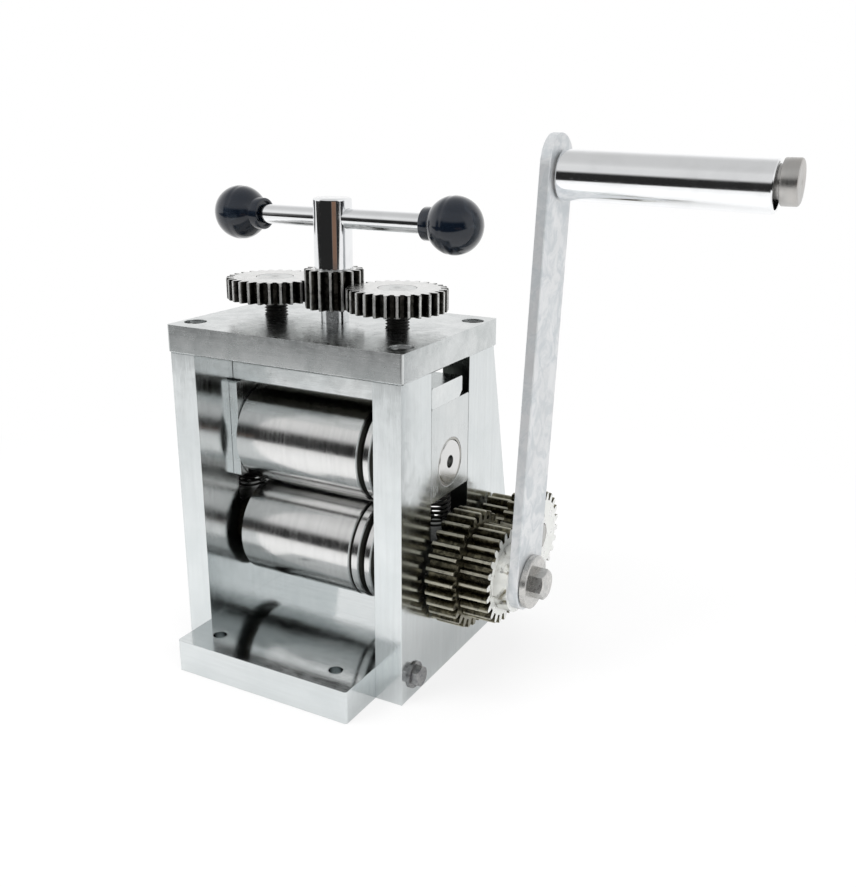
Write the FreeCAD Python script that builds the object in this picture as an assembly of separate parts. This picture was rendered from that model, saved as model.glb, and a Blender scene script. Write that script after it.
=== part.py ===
import FreeCAD, Part
import math
import os

os.makedirs("parts", exist_ok=True)
V = FreeCAD.Vector

# All sizes are millimetres: X to the right, Y to the back, Z up from the underside of the base

# Fits and clearances
run_gap = 0.05
slide_gap = 0.1
end_gap = 0.2
thread_gap = 0.05

# Frame plates
plate_in = 42.7
plate_thick = 12.3
plate_out = plate_in + plate_thick
plate_front = -40.0
plate_back_top = 39.6
plate_back_foot = 71.0
plate_top = 133.7
cap_top = 145.5
cap_overhang = 1.0
cap_half_x = plate_out + cap_overhang
cap_half_y = 40.5
window_half = 16.3
window_floor = 62.0
window_corner_r = 2.0
base_front = -62.0
base_back = 71.0
base_top = 14.1
bench_hole_x = 29.8
bench_hole_front_y = -49.6
bench_hole_back_y = 58.6
bench_hole_r = 3.0

# Rolls
roll_r = 22.0
block_flange_thick = 4.0
roll_half = plate_in - slide_gap - block_flange_thick - end_gap
groove_bands = ((4.7, 9.5), (11.8, 15.5))
lower_groove_bands = groove_bands + ((18.2, 20.2),)
lower_z = 47.6
upper_z = 92.7
journal_r = 9.3
gear_seat_r = 8.0
centre_drill_r = 2.7

# Plain bushes
bush_wall = 1.0
bush_bore_r = journal_r + run_gap
bush_r = journal_r + bush_wall
thrust_flange_r = 14.0

# Sliding bearing blocks and the beam that presses on them
block_half_y = window_half - slide_gap
block_bottom = 79.2
block_top = 118.5
flange_in = roll_half + end_gap
flange_out = plate_in - slide_gap
flange_half_y = 19.3
flange_bottom = 76.0
beam_top = 127.0
beam_back = 10.0
spring_peg_r = 4.5
spring_peg_length = 4.0

# Lift springs
spring_x = (plate_in + plate_out) / 2
spring_wire_r = 0.5
spring_mean_r = 5.55
spring_half_turns = 14
spring_coil_height = 13.5
spring_elbow_r = 0.8

# Reduction gears on the right side
pressure_angle = math.radians(20.0)
train_module = 1.6
crank_teeth = 23
idler_large_teeth = 23
idler_small_teeth = 17
roll_gear_teeth = 29
train_distance = train_module * (crank_teeth + idler_large_teeth) / 2
idler_rise = 3.8
train_thinning = 0.06
train_gear_width = 12.6
thrust_washer_thick = 1.5
inner_gear_x0 = plate_out + slide_gap + thrust_washer_thick
inner_gear_x1 = inner_gear_x0 + train_gear_width
outer_gear_x0 = inner_gear_x1 + end_gap
outer_gear_x1 = outer_gear_x0 + train_gear_width
idler_shaft_r = 6.0
dowel_r = 2.0
dowel_circle_r = 9.0

# Crank
hub_r = 13.8
spigot_r = 10.5
hub_length = 5.8
arm_thick = 4.0
arm_x0 = outer_gear_x1 + hub_length
arm_x1 = arm_x0 + arm_thick
crank_throw = 160.0
crank_lean = math.radians(5.6)
arm_half_width = 12.0
arm_tip_reach = 3.0
end_washer_r = 11.0
end_washer_thick = 2.95
end_washer_x1 = arm_x1 + run_gap + end_washer_thick
end_bolt_head = 5.0
end_bolt_af = 11.1
end_bolt_r = 3.2
grip_r = 9.25
grip_arm_gap = 0.8
grip_length = 76.9
grip_x0 = arm_x1 + grip_arm_gap
grip_x1 = grip_x0 + grip_length
grip_bore_r = 7.7
spindle_r = 5.9
spindle_shoulder_length = 3.8
spindle_shoulder_x1 = arm_x1 + spindle_shoulder_length
spindle_cap_r = 8.0
grip_cap_gap = 1.4
spindle_cap_length = 6.1
spindle_cap_x0 = grip_x1 + grip_cap_gap
spindle_cap_x1 = spindle_cap_x0 + spindle_cap_length

# Gap adjuster on top
jack_x = 30.25
pinion_teeth = 16
jack_teeth = 28
jack_module = 2 * jack_x / (pinion_teeth + jack_teeth)
jack_thinning = 0.06
jack_screw_r = 5.0
jack_head_r = 8.0
jack_gear_z0 = 153.0
jack_gear_z1 = 162.0
pinion_z0 = 151.5
pinion_z1 = 167.5
post_tail_r = 4.5
post_shank_r = 5.85
post_head_r = 7.95
post_top = 196.0
bar_z = 187.9
bar_r = 4.0
bar_offset = 4.4
bar_half = 52.2
bar_turn = math.radians(-1.7)
ball_r = 11.2
ball_neck_r = 6.5
ball_neck_end = 13.0
ball_bore_depth = 12.0
ball_mouth_r = 5.4
ball_mouth_depth = 1.2

# Roll coupling gears on the left side
couple_module = 3.0
couple_teeth = 15
couple_tip_r = 26.0
couple_root_r = 17.9
couple_thinning = 0.27
couple_gear_width = 9.6
couple_boss_length = 1.8
couple_x1 = -plate_out - couple_boss_length
couple_x0 = couple_x1 - couple_gear_width

# Screws
cap_screw_inset = 5.5
cap_screw_x = plate_out - cap_screw_inset
cap_screw_y = 30.0
cap_screw_r = 2.5
cap_screw_head_r = 4.25
cap_recess_r = 4.7
side_bolt_front_y = -30.0
side_bolt_back_y = 50.0
side_bolt_z = 9.3
side_bolt_r = 2.5
side_bolt_af = 8.0
side_bolt_head = 3.0
side_washer_r = 5.6
side_washer_thick = 0.9


def save(name, *solids):
    """Write one node as a STEP file; several solids form one group."""
    shape = solids[0] if len(solids) == 1 else Part.makeCompound(list(solids))
    count = len(shape.Solids)
    if not shape.isValid() or count != len(solids):
        print("CHECK", name, "valid", shape.isValid(), "solids", count)
    shape.exportStep("parts/" + name + ".step")
    print(name, count, "solids", len(shape.Faces), "faces")


# Shapes used all over

def box(x0, x1, y0, y1, z0, z1):
    return Part.makeBox(x1 - x0, y1 - y0, z1 - z0, V(x0, y0, z0))


def rod_x(r, x0, x1, y=0.0, z=0.0):
    return Part.makeCylinder(r, x1 - x0, V(x0, y, z), V(1, 0, 0))


def rod_z(r, z0, z1, x=0.0, y=0.0):
    return Part.makeCylinder(r, z1 - z0, V(x, y, z0), V(0, 0, 1))


def turned(profile, centre, axis):
    """Solid of revolution from (along, radius) pairs about an axis through centre."""
    side = V(0, 1, 0) if axis.x else V(1, 0, 0)
    points = [centre + axis * a + side * r for a, r in profile]
    face = Part.Face(Part.makePolygon(points + points[:1]))
    return face.revolve(centre, axis, 360)


def turned_x(profile, y=0.0, z=0.0):
    return turned(profile, V(0, y, z), V(1, 0, 0))


def turned_z(profile, x=0.0, y=0.0):
    return turned(profile, V(x, y, 0), V(0, 0, 1))


def shaft_profile(steps, edge):
    """Profile of a stepped shaft from (start, end, radius) steps with broken end edges."""
    points = [(steps[0][0], 0), (steps[0][0], steps[0][2] - edge), (steps[0][0] + edge, steps[0][2])]
    for (a0, a1, r), (b0, b1, q) in zip(steps, steps[1:]):
        points += [(a1, r), (b0, q)]
    last = steps[-1]
    points += [(last[1] - edge, last[2]), (last[1], last[2] - edge), (last[1], 0)]
    return points


def plate_x(points, x0, x1):
    """Flat plate between two X planes from its (y, z) outline."""
    outline = [V(x0, y, z) for y, z in points]
    return Part.Face(Part.makePolygon(outline + outline[:1])).extrude(V(x1 - x0, 0, 0))


def hexagon_x(af, x0, x1, y, z, turn=0.0):
    corner = af / 2 / math.cos(math.pi / 6)
    angles = [turn + i * math.pi / 3 for i in range(6)]
    prism = plate_x([(y + corner * math.cos(a), z + corner * math.sin(a)) for a in angles], x0, x1)
    return prism


def edges_along(shape, direction):
    """Straight edges of a shape that run parallel to a direction."""
    found = []
    for edge in shape.Edges:
        if len(edge.Vertexes) == 2 and isinstance(edge.Curve, Part.Line):
            run = (edge.Vertexes[1].Point - edge.Vertexes[0].Point).normalize()
            if abs(abs(run.dot(direction)) - 1) < 1e-6:
                found.append(edge)
    return found


# Gear teeth

def involute(angle):
    return math.tan(angle) - angle


def tooth_half_angle(teeth, module, radius, thinning):
    """Half of the angle that one tooth covers at a radius on its involute flanks."""
    pitch_r = teeth * module / 2
    base_r = pitch_r * math.cos(pressure_angle)
    at_radius = math.acos(min(1.0, base_r / radius))
    half_pitch = math.pi / (2 * teeth) - thinning / pitch_r
    return half_pitch + involute(pressure_angle) - involute(at_radius)


def polar(radius, angle):
    return V(radius * math.cos(angle), radius * math.sin(angle), 0)


def gear_face(teeth, module, tip_r, root_r, thinning, phase):
    """Flat gear outline in XY with one tooth centred on the phase angle."""
    base_r = teeth * module / 2 * math.cos(pressure_angle)
    start_r = max(base_r, root_r)
    middle_r = (start_r + tip_r) / 2
    start_a = tooth_half_angle(teeth, module, start_r, thinning)
    middle_a = tooth_half_angle(teeth, module, middle_r, thinning)
    tip_a = tooth_half_angle(teeth, module, tip_r, thinning)
    pitch = 2 * math.pi / teeth
    edges = []
    for i in range(teeth):
        c = phase + i * pitch
        n = c + pitch
        if root_r < start_r - 1e-6:
            edges.append(Part.makeLine(polar(root_r, c - start_a), polar(start_r, c - start_a)))
        rise = [polar(start_r, c - start_a), polar(middle_r, c - middle_a), polar(tip_r, c - tip_a)]
        crest = [polar(tip_r, c - tip_a), polar(tip_r, c), polar(tip_r, c + tip_a)]
        fall = [polar(tip_r, c + tip_a), polar(middle_r, c + middle_a), polar(start_r, c + start_a)]
        edges += [Part.Arc(*rise).toShape(), Part.Arc(*crest).toShape(), Part.Arc(*fall).toShape()]
        if root_r < start_r - 1e-6:
            edges.append(Part.makeLine(polar(start_r, c + start_a), polar(root_r, c + start_a)))
        valley = [polar(root_r, c + start_a), polar(root_r, (c + n) / 2), polar(root_r, n - start_a)]
        edges.append(Part.Arc(*valley).toShape())
    return Part.Face(Part.Wire(edges))


def spur_gear(teeth, module, tip_r, root_r, thinning, phase, length, edge):
    """Gear blank along Z from 0 to its length, with bevelled tooth ends."""
    gear = gear_face(teeth, module, tip_r, root_r, thinning, phase).extrude(V(0, 0, length))
    if edge > 0:
        blank = turned_z([(0, 0), (0, tip_r - edge), (edge, tip_r + 0.01),
                          (length - edge, tip_r + 0.01), (length, tip_r - edge), (length, 0)])
        gear = gear.common(blank)
    return gear


def standard_gear(teeth, module, thinning, phase, length, edge=0.45):
    pitch_r = teeth * module / 2
    return spur_gear(teeth, module, pitch_r + module, pitch_r - 1.25 * module, thinning, phase, length, edge)


def stand_on_x(shape, x, y=0.0, z=0.0):
    """Turn a shape built along Z so that it runs along X: old X is Y and old Y is Z."""
    moved = shape.copy()
    moved.Placement = FreeCAD.Placement(V(x, y, z), FreeCAD.Rotation(V(1, 1, 1), 120))
    return moved


def mating_phase(teeth, phase, mate_teeth, direction):
    """Phase of a gear that meshes with another one lying in a direction from it."""
    gap_centre = direction + math.pi - (phase - direction) * teeth / mate_teeth
    return gap_centre + math.pi / mate_teeth


# Frame

def side_plate(side):
    """Tapering side plate with an open-topped bearing window."""
    outline = [(plate_front, 0), (plate_back_foot, 0), (plate_back_top, plate_top),
               (window_half, plate_top), (window_half, window_floor + window_corner_r),
               (window_half - window_corner_r, window_floor),
               (window_corner_r - window_half, window_floor),
               (-window_half, window_floor + window_corner_r), (-window_half, plate_top),
               (plate_front, plate_top)]
    plate = plate_x(outline, plate_in, plate_out)
    cuts = [rod_x(bush_r, plate_in - 1, plate_out + 1, 0, lower_z)]
    for y in (side_bolt_front_y, side_bolt_back_y):
        cuts.append(rod_x(side_bolt_r + 0.2, plate_in - 1, plate_out + 1, y, side_bolt_z))
    for y in (-cap_screw_y, cap_screw_y):
        cuts.append(rod_z(cap_screw_r + thread_gap, plate_top - 16, plate_top + 1, cap_screw_x, y))
    if side > 0:
        cuts.append(rod_x(idler_shaft_r + bush_wall, plate_in - 1, plate_out + 1, idler_y, idler_z))
    plate = plate.cut(Part.makeCompound(cuts))
    if side < 0:
        plate = plate.mirror(V(0, 0, 0), V(1, 0, 0))
    return plate


def base_plate():
    plate = box(-plate_in, plate_in, base_front, base_back, 0, base_top)
    plate = plate.makeChamfer(0.8, edges_along(plate, V(0, 0, 1)))
    cuts = []
    for x in (-bench_hole_x, bench_hole_x):
        for y in (bench_hole_front_y, bench_hole_back_y):
            cuts.append(rod_z(bench_hole_r, -1, base_top + 1, x, y))
    for y in (side_bolt_front_y, side_bolt_back_y):
        for s in (-1, 1):
            x0, x1 = sorted((s * (plate_in + 1), s * (plate_in - 20)))
            cuts.append(rod_x(side_bolt_r + thread_gap, x0, x1, y, side_bolt_z))
    return plate.cut(Part.makeCompound(cuts))


def top_plate():
    plate = box(-cap_half_x, cap_half_x, -cap_half_y, cap_half_y, plate_top, cap_top)
    plate = plate.makeFillet(1.2, edges_along(plate, V(0, 0, 1)))
    low = [e for e in plate.Edges if e.BoundBox.ZMax < plate_top + 0.01]
    plate = plate.makeChamfer(0.6, low)
    cuts = [rod_z(post_tail_r + run_gap, plate_top - 1, cap_top + 1),
            rod_z(clip_recess_r, plate_top - 1, clip_recess_top)]
    for x in (-jack_x, jack_x):
        cuts.append(rod_z(jack_screw_r + thread_gap, plate_top - 1, cap_top + 1, x))
    for x in (-cap_screw_x, cap_screw_x):
        for y in (-cap_screw_y, cap_screw_y):
            cuts.append(rod_z(cap_screw_r + 0.25, plate_top - 1, cap_top + 1, x, y))
            cuts.append(rod_z(cap_recess_r, cap_top - 6, cap_top + 1, x, y))
    return plate.cut(Part.makeCompound(cuts))


def socket_screw(x, y):
    """Socket head cap screw standing in a recess of the top plate."""
    seat = cap_top - 6
    head_top = seat + 5.0
    tip = plate_top - 12
    screw = turned_z([(tip, 0), (tip, cap_screw_r - 0.4), (tip + 0.4, cap_screw_r),
                      (seat, cap_screw_r), (seat, cap_screw_head_r),
                      (head_top - 0.4, cap_screw_head_r), (head_top, cap_screw_head_r - 0.4),
                      (head_top, 0)], x, y)
    corner = 4.0 / 2 / math.cos(math.pi / 6)
    points = [V(x + corner * math.cos(a), y + corner * math.sin(a), head_top - 2.5)
              for a in [i * math.pi / 3 + 0.3 for i in range(7)]]
    socket = Part.Face(Part.makePolygon(points)).extrude(V(0, 0, 4))
    return screw.cut(socket)


def side_bolt(side, y):
    """Hex bolt with its washer, through a side plate into the base."""
    z = side_bolt_z
    seat = plate_out + side_washer_thick
    top = seat + side_bolt_head
    flat = side_bolt_af / 2
    head = hexagon_x(side_bolt_af, seat, top, y, z, 0.4)
    crown = turned_x([(plate_out, 0), (plate_out, 1.6 * flat), (top - 0.6, 1.16 * flat),
                      (top, flat), (top, 0)], y, z)
    shank = rod_x(side_bolt_r, plate_in - 17, seat + 0.2, y, z)
    bolt = head.common(crown).fuse(shank)
    washer = rod_x(side_washer_r, plate_out, seat, y, z).cut(
        rod_x(side_bolt_r + 0.2, plate_out - 1, seat + 1, y, z))
    if side < 0:
        bolt = bolt.mirror(V(0, 0, 0), V(1, 0, 0))
        washer = washer.mirror(V(0, 0, 0), V(1, 0, 0))
    return bolt, washer


def thrust_bush(side):
    """Flanged plain bush for the lower roll in one side plate."""
    inner = flange_in
    bush = turned_x([(inner, bush_bore_r), (inner, thrust_flange_r), (plate_in, thrust_flange_r),
                     (plate_in, bush_r), (plate_out, bush_r), (plate_out, bush_bore_r)], 0, lower_z)
    if side < 0:
        bush = bush.mirror(V(0, 0, 0), V(1, 0, 0))
    return bush


# Rolls

def groove_cuts(bands, z):
    """Wire grooves as rings of triangular section, placed inward from a roll's right face."""
    cutters = []
    for near, far in bands:
        x0 = roll_half - far
        x1 = roll_half - near
        middle = (x0 + x1) / 2
        depth = (x1 - x0) / 2
        cutters.append(turned_x([(x0, roll_r), (middle, roll_r - depth), (x1, roll_r),
                                 (x1, roll_r + 1), (x0, roll_r + 1)], 0, z))
    return cutters


def key_block(x0, x1, z, up):
    """Square drive key lying in a shaft and in the gear on it."""
    z0 = z + up * (gear_seat_r - 2.5)
    z1 = z + up * (gear_seat_r + 2.0)
    return box(x0, x1, -2.5, 2.5, min(z0, z1), max(z0, z1))


def ring_groove(x0, x1, z):
    return turned_x([(x0, gear_seat_r - 0.9), (x0, gear_seat_r + 1),
                     (x1, gear_seat_r + 1), (x1, gear_seat_r - 0.9)], 0, z)


def snap_ring(x0, x1, y, z, shaft_r, groove_depth):
    """Open retaining ring with two drilled lugs, lying in a groove of an X shaft."""
    ring = turned_x([(x0, shaft_r - groove_depth), (x0, shaft_r + 1.6),
                     (x1, shaft_r + 1.6), (x1, shaft_r - groove_depth)], y, z)
    gap = box(x0 - 1, x1 + 1, y - 1.0, y + 1.0, z, z + shaft_r + 3)
    ring = ring.cut(gap)
    lugs = []
    for s in (-1, 1):
        lug = rod_x(1.5, x0, x1, y + s * 2.3, z + shaft_r + 1.7)
        lugs.append(lug.cut(box(x0 - 1, x1 + 1, y - 1.0, y + 1.0, z, z + 2 * shaft_r)))
    ring = ring.fuse(lugs)
    holes = [rod_x(0.6, x0 - 1, x1 + 1, y + s * 2.3, z + shaft_r + 1.8) for s in (-1, 1)]
    return ring.cut(Part.makeCompound(holes))


def lower_roll():
    """Grooved roll with journals, left coupling end and long right drive end."""
    steps = [(shaft_left, -plate_out - 0.1, gear_seat_r), (-plate_out - 0.1, -roll_half, journal_r),
             (-roll_half, roll_half, roll_r), (roll_half, plate_out + 0.1, journal_r),
             (plate_out + 0.1, shaft_right, gear_seat_r)]
    roll = turned_x(shaft_profile(steps, 0.6), 0, lower_z)
    cuts = groove_cuts(lower_groove_bands, lower_z)
    cuts.append(rod_x(end_bolt_r + thread_gap, shaft_right - 24, shaft_right + 1, 0, lower_z))
    cuts.append(key_block(inner_gear_x0 + 0.6, inner_gear_x1, lower_z, 1))
    cuts.append(key_block(couple_x0, couple_x1, lower_z, 1))
    cuts.append(ring_groove(clip_x0, clip_x1, lower_z))
    return roll.cut(Part.makeCompound(cuts))


def upper_roll():
    """Grooved roll with journals in the sliding blocks and a left coupling end."""
    steps = [(shaft_left, -plate_out - 0.1, gear_seat_r), (-plate_out - 0.1, -roll_half, journal_r),
             (-roll_half, roll_half, roll_r), (roll_half, plate_out, journal_r)]
    roll = turned_x(shaft_profile(steps, 0.5), 0, upper_z)
    cuts = groove_cuts(groove_bands, upper_z)
    cuts.append(rod_x(centre_drill_r, plate_out - 5, plate_out + 1, 0, upper_z))
    cuts.append(key_block(couple_x0, couple_x1, upper_z, 1))
    cuts.append(ring_groove(clip_x0, clip_x1, upper_z))
    return roll.cut(Part.makeCompound(cuts))


def coupling_gear(z, phase):
    """Long-toothed gear that keeps the rolls coupled while their gap changes."""
    length = couple_x1 - couple_x0
    gear = spur_gear(couple_teeth, couple_module, couple_tip_r, couple_root_r,
                     couple_thinning, phase, length, 0.5)
    gear = stand_on_x(gear, couple_x0, 0, z)
    boss = rod_x(12.0, couple_x1 - 0.2, -plate_out - 0.1, 0, z)
    gear = gear.fuse(boss)
    bore = rod_x(gear_seat_r, couple_x0 - 1, -plate_out, 0, z)
    return gear.cut(Part.makeCompound([bore, key_block(couple_x0 - 1, couple_x1, z, 1)]))


# Sliding blocks and beam

def bearing_block(side):
    """Block that slides in a window, with an inner flange that keeps it there."""
    block = box(flange_out - 0.1, plate_out, -block_half_y, block_half_y, block_bottom, block_top)
    block = block.makeChamfer(0.5, edges_along(block, V(1, 0, 0)))
    flange = box(flange_in, flange_out, -flange_half_y, flange_half_y, flange_bottom, block_top)
    flange = flange.makeChamfer(0.5, edges_along(flange, V(1, 0, 0)))
    peg = rod_z(spring_peg_r, block_bottom - spring_peg_length, block_bottom + 1, spring_x)
    bore = rod_x(bush_r, flange_in - 1, plate_out + 1, 0, upper_z)
    block = block.fuse([flange, peg]).cut(bore)
    if side < 0:
        block = block.mirror(V(0, 0, 0), V(1, 0, 0))
    return block


def block_bush(side):
    """Plain bush pressed in a sliding block."""
    bush = turned_x([(flange_in + 0.1, bush_bore_r), (flange_in + 0.1, bush_r),
                     (plate_out - 0.1, bush_r), (plate_out - 0.1, bush_bore_r)], 0, upper_z)
    if side < 0:
        bush = bush.mirror(V(0, 0, 0), V(1, 0, 0))
    return bush


def pressure_beam():
    """Bar across both blocks that the jack screws press on."""
    y0 = -block_half_y
    outline = [(y0 + 0.6, block_top), (beam_back - 2.4, block_top), (beam_back, block_top + 2.4),
               (beam_back, beam_top - 0.6), (beam_back - 0.6, beam_top), (y0 + 0.6, beam_top),
               (y0, beam_top - 0.6), (y0, block_top + 0.6)]
    return plate_x(outline, -plate_out, plate_out)


# Lift springs

def half_turn_arcs(p0, t0, p1, t1):
    """Two arcs that join two points smoothly along their directions."""
    v = p1 - p0
    t = t0 + t1
    a = 2 * (1 - t0.dot(t1))
    d = (-v.dot(t) + math.sqrt(v.dot(t) ** 2 + a * v.dot(v))) / a
    q0 = p0 + t0 * d
    q1 = p1 - t1 * d
    joint = (q0 + q1) * 0.5
    arcs = []
    for start, corner, end in ((p0, q0, joint), (joint, q1, p1)):
        chord = (start + end) * 0.5
        cosine = (chord - start).Length / d
        crown = chord + (corner - chord) * (cosine / (1 + cosine))
        arcs.append(Part.Arc(start, crown, end).toShape())
    return arcs


def elbow_points(point, direction, target, radius):
    """Start, middle and end of an arc that turns a direction into another."""
    sine = direction.dot(target)
    normal = (target - direction * sine).normalize()
    points = []
    for f in (0.0, 0.5, 1.0):
        a = f * math.acos(sine)
        points.append(point + normal * (radius * (1 - math.cos(a))) + direction * (radius * math.sin(a)))
    return points


def lift_spring(x):
    """Compression spring from the window floor to the underside of a block."""
    turns = spring_half_turns / 2
    pitch = spring_coil_height / turns
    slope = math.atan(pitch / (2 * math.pi * spring_mean_r))
    middle = (window_floor + block_bottom) / 2
    low = middle - spring_coil_height / 2

    def point(k):
        a = k * math.pi
        height = low + pitch * k / 2
        return V(x + spring_mean_r * math.cos(a), spring_mean_r * math.sin(a), height)

    def heading(k):
        a = k * math.pi
        flat = math.cos(slope)
        return V(-flat * math.sin(a), flat * math.cos(a), math.sin(slope))

    last = spring_half_turns
    bottom = elbow_points(point(0), heading(0) * -1, V(0, 0, -1), spring_elbow_r)
    top = elbow_points(point(last), heading(last), V(0, 0, 1), spring_elbow_r)
    foot = V(bottom[2].x, bottom[2].y, window_floor)
    crown = V(top[2].x, top[2].y, block_bottom)
    path = [Part.makeLine(foot, bottom[2]), Part.Arc(bottom[2], bottom[1], bottom[0]).toShape()]
    for k in range(last):
        path += half_turn_arcs(point(k), heading(k), point(k + 1), heading(k + 1))
    path += [Part.Arc(top[0], top[1], top[2]).toShape(), Part.makeLine(top[2], crown)]
    ring = Part.Wire([Part.makeCircle(spring_wire_r, foot, V(0, 0, 1))])
    tube = Part.Wire(path).makePipeShell([ring], True, False)
    spring = tube if tube.ShapeType == "Solid" else Part.Solid(tube.Shells[0])
    print("spring turns", turns, "gap between curls", round(pitch * math.cos(slope) - 2 * spring_wire_r, 3),
          "tail", round(block_bottom - top[2].z, 2), "volume", round(spring.Volume, 1))
    return spring


# Reduction gears and crank

def idler_gear(teeth, phase, x0, x1, boss):
    """One of the two idler gears, bored for the shaft and both dowels."""
    gear = standard_gear(teeth, train_module, train_thinning, phase, x1 - x0)
    gear = stand_on_x(gear, x0, idler_y, idler_z)
    if boss:
        gear = gear.fuse(rod_x(9.0, plate_out + 0.1, x0 + 0.5, idler_y, idler_z))
    cuts = [rod_x(idler_shaft_r, plate_out, x1 + 1, idler_y, idler_z)]
    for s in (-1, 1):
        y, z = dowel_place(s)
        cuts.append(rod_x(dowel_r, plate_out, x1 + 1, y, z))
    return gear.cut(Part.makeCompound(cuts))


def dowel_place(s):
    return idler_y + s * dowel_circle_r * math.cos(dowel_angle), idler_z + s * dowel_circle_r * math.sin(dowel_angle)


def idler_shaft():
    steps = [(plate_in - 4.0, outer_gear_x1, idler_shaft_r)]
    shaft = turned_x(shaft_profile(steps, 0.4), idler_y, idler_z)
    x0, x1 = idler_clip_x
    groove = turned_x([(x0, idler_shaft_r - 0.8), (x0, idler_shaft_r + 1),
                       (x1, idler_shaft_r + 1), (x1, idler_shaft_r - 0.8)], idler_y, idler_z)
    return shaft.cut(groove)


def roll_gear():
    """Large gear keyed on the lower roll's shaft."""
    gear = standard_gear(roll_gear_teeth, train_module, train_thinning, roll_gear_phase,
                         inner_gear_x1 - inner_gear_x0)
    gear = stand_on_x(gear, inner_gear_x0, 0, lower_z)
    bore = rod_x(gear_seat_r, plate_out, inner_gear_x1 + 1, 0, lower_z)
    return gear.cut(Part.makeCompound([bore, key_block(inner_gear_x0 - 1, inner_gear_x1 + 1, lower_z, 1)]))


def crank_gear():
    """Gear with a hub that turns freely on the lower roll's shaft."""
    gear = standard_gear(crank_teeth, train_module, train_thinning, crank_gear_phase,
                         outer_gear_x1 - outer_gear_x0)
    gear = stand_on_x(gear, outer_gear_x0, 0, lower_z)
    hub = turned_x([(outer_gear_x1 - 1, 0), (outer_gear_x1 - 1, hub_r), (arm_x0, hub_r),
                    (arm_x0, spigot_r), (arm_x1 - 0.05, spigot_r), (arm_x1 - 0.05, 0)], 0, lower_z)
    bore = rod_x(gear_seat_r + run_gap, outer_gear_x0 - 1, arm_x1 + 1, 0, lower_z)
    return gear.fuse(hub).cut(bore)


def crank_arm():
    """Flat arm with round ends, running a little past the handle."""
    past = 1 + arm_tip_reach / crank_throw
    top = V(0, handle_y * past, lower_z + (handle_z - lower_z) * past)
    foot = V(0, 0, lower_z)
    run = math.pi / 2
    along = math.atan2(handle_z - lower_z, handle_y)

    def rim(centre, radius, angle):
        return V(arm_x0, centre.y + radius * math.cos(angle), centre.z + radius * math.sin(angle))

    left = along + run
    right = along - run
    edges = [Part.makeLine(rim(foot, arm_half_width, right), rim(top, arm_half_width, right)),
             Part.Arc(rim(top, arm_half_width, right), rim(top, arm_half_width, along), rim(top, arm_half_width, left)).toShape(),
             Part.makeLine(rim(top, arm_half_width, left), rim(foot, arm_half_width, left)),
             Part.Arc(rim(foot, arm_half_width, left), rim(foot, arm_half_width, along + math.pi),
                      rim(foot, arm_half_width, right)).toShape()]
    arm = Part.Face(Part.Wire(edges)).extrude(V(arm_x1 - arm_x0, 0, 0))
    arm = arm.cut(Part.makeCompound([rod_x(spigot_r, arm_x0 - 1, arm_x1 + 1, 0, lower_z),
                                     rod_x(5.0, arm_x0 - 1, arm_x1 + 1, handle_y, handle_z)]))
    rims = [e for e in arm.Edges if e.BoundBox.XLength < 1e-3 and abs(e.BoundBox.XMin - arm_x1) < 1e-3]
    outer = [e for e in rims if e.Length > 20 and not isinstance(e.Curve, Part.Circle)
             or isinstance(e.Curve, Part.Circle) and e.Curve.Radius > spigot_r + 0.5]
    return arm.makeChamfer(0.4, outer)


def handle_spindle():
    """Fixed pin of the handle with its shoulder and cap; the loose tube turns on it."""
    shoulder_r = grip_bore_r - slide_gap
    return turned_x([(arm_x0 + 0.1, 0), (arm_x0 + 0.1, 5.0), (arm_x1, 5.0), (arm_x1, shoulder_r),
                     (spindle_shoulder_x1, shoulder_r), (spindle_shoulder_x1, spindle_r),
                     (spindle_cap_x0, spindle_r),
                     (spindle_cap_x0, spindle_cap_r - 0.5), (spindle_cap_x0 + 0.5, spindle_cap_r),
                     (spindle_cap_x1 - 0.8, spindle_cap_r), (spindle_cap_x1, spindle_cap_r - 0.8),
                     (spindle_cap_x1, 0)], handle_y, handle_z)


def handle_grip():
    """Loose tube, centred by the spindle's shoulder, whose outer end hangs down onto the spindle."""
    inner = grip_bore_r
    tube = turned_x([(grip_x0, inner), (grip_x0, grip_r - 0.6), (grip_x0 + 0.6, grip_r),
                     (grip_x1 - 0.6, grip_r), (grip_x1, grip_r - 0.6), (grip_x1, inner)],
                    handle_y, handle_z)
    tube.rotate(V(grip_pivot_x, handle_y, handle_z), V(0, 1, 0), math.degrees(grip_droop))
    return tube


def end_bolt():
    """Hex bolt that holds the crank washer on the end of the lower shaft."""
    x0 = end_washer_x1
    x1 = end_washer_x1 + end_bolt_head
    head = hexagon_x(end_bolt_af, x0, x1, 0, lower_z, 0.25)
    flat = end_bolt_af / 2
    crown = turned_x([(x0 - 1, 0), (x0 - 1, 1.6 * flat), (x1 - 0.8, 1.16 * flat), (x1, 0.97 * flat), (x1, 0)],
                     0, lower_z)
    shank = rod_x(end_bolt_r, shaft_right - 20, x0 + 0.5, 0, lower_z)
    return head.common(crown).fuse(shank)


def end_washer():
    return turned_x([(shaft_right, end_bolt_r + 0.2), (shaft_right, end_washer_r - 0.4),
                     (shaft_right + 0.4, end_washer_r), (end_washer_x1 - 0.4, end_washer_r),
                     (end_washer_x1, end_washer_r - 0.4), (end_washer_x1, end_bolt_r + 0.2)], 0, lower_z)


# Gap adjuster

def jack_screw(x):
    """Screw through the top plate, with a head that fills the bore of its gear."""
    return turned_z([(beam_top, 0), (beam_top, jack_screw_r - 0.8), (beam_top + 0.8, jack_screw_r),
                     (jack_gear_z0, jack_screw_r), (jack_gear_z0, jack_head_r),
                     (jack_gear_z1 - 0.3, jack_head_r), (jack_gear_z1, jack_head_r - 0.3),
                     (jack_gear_z1, 0)], x)


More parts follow.
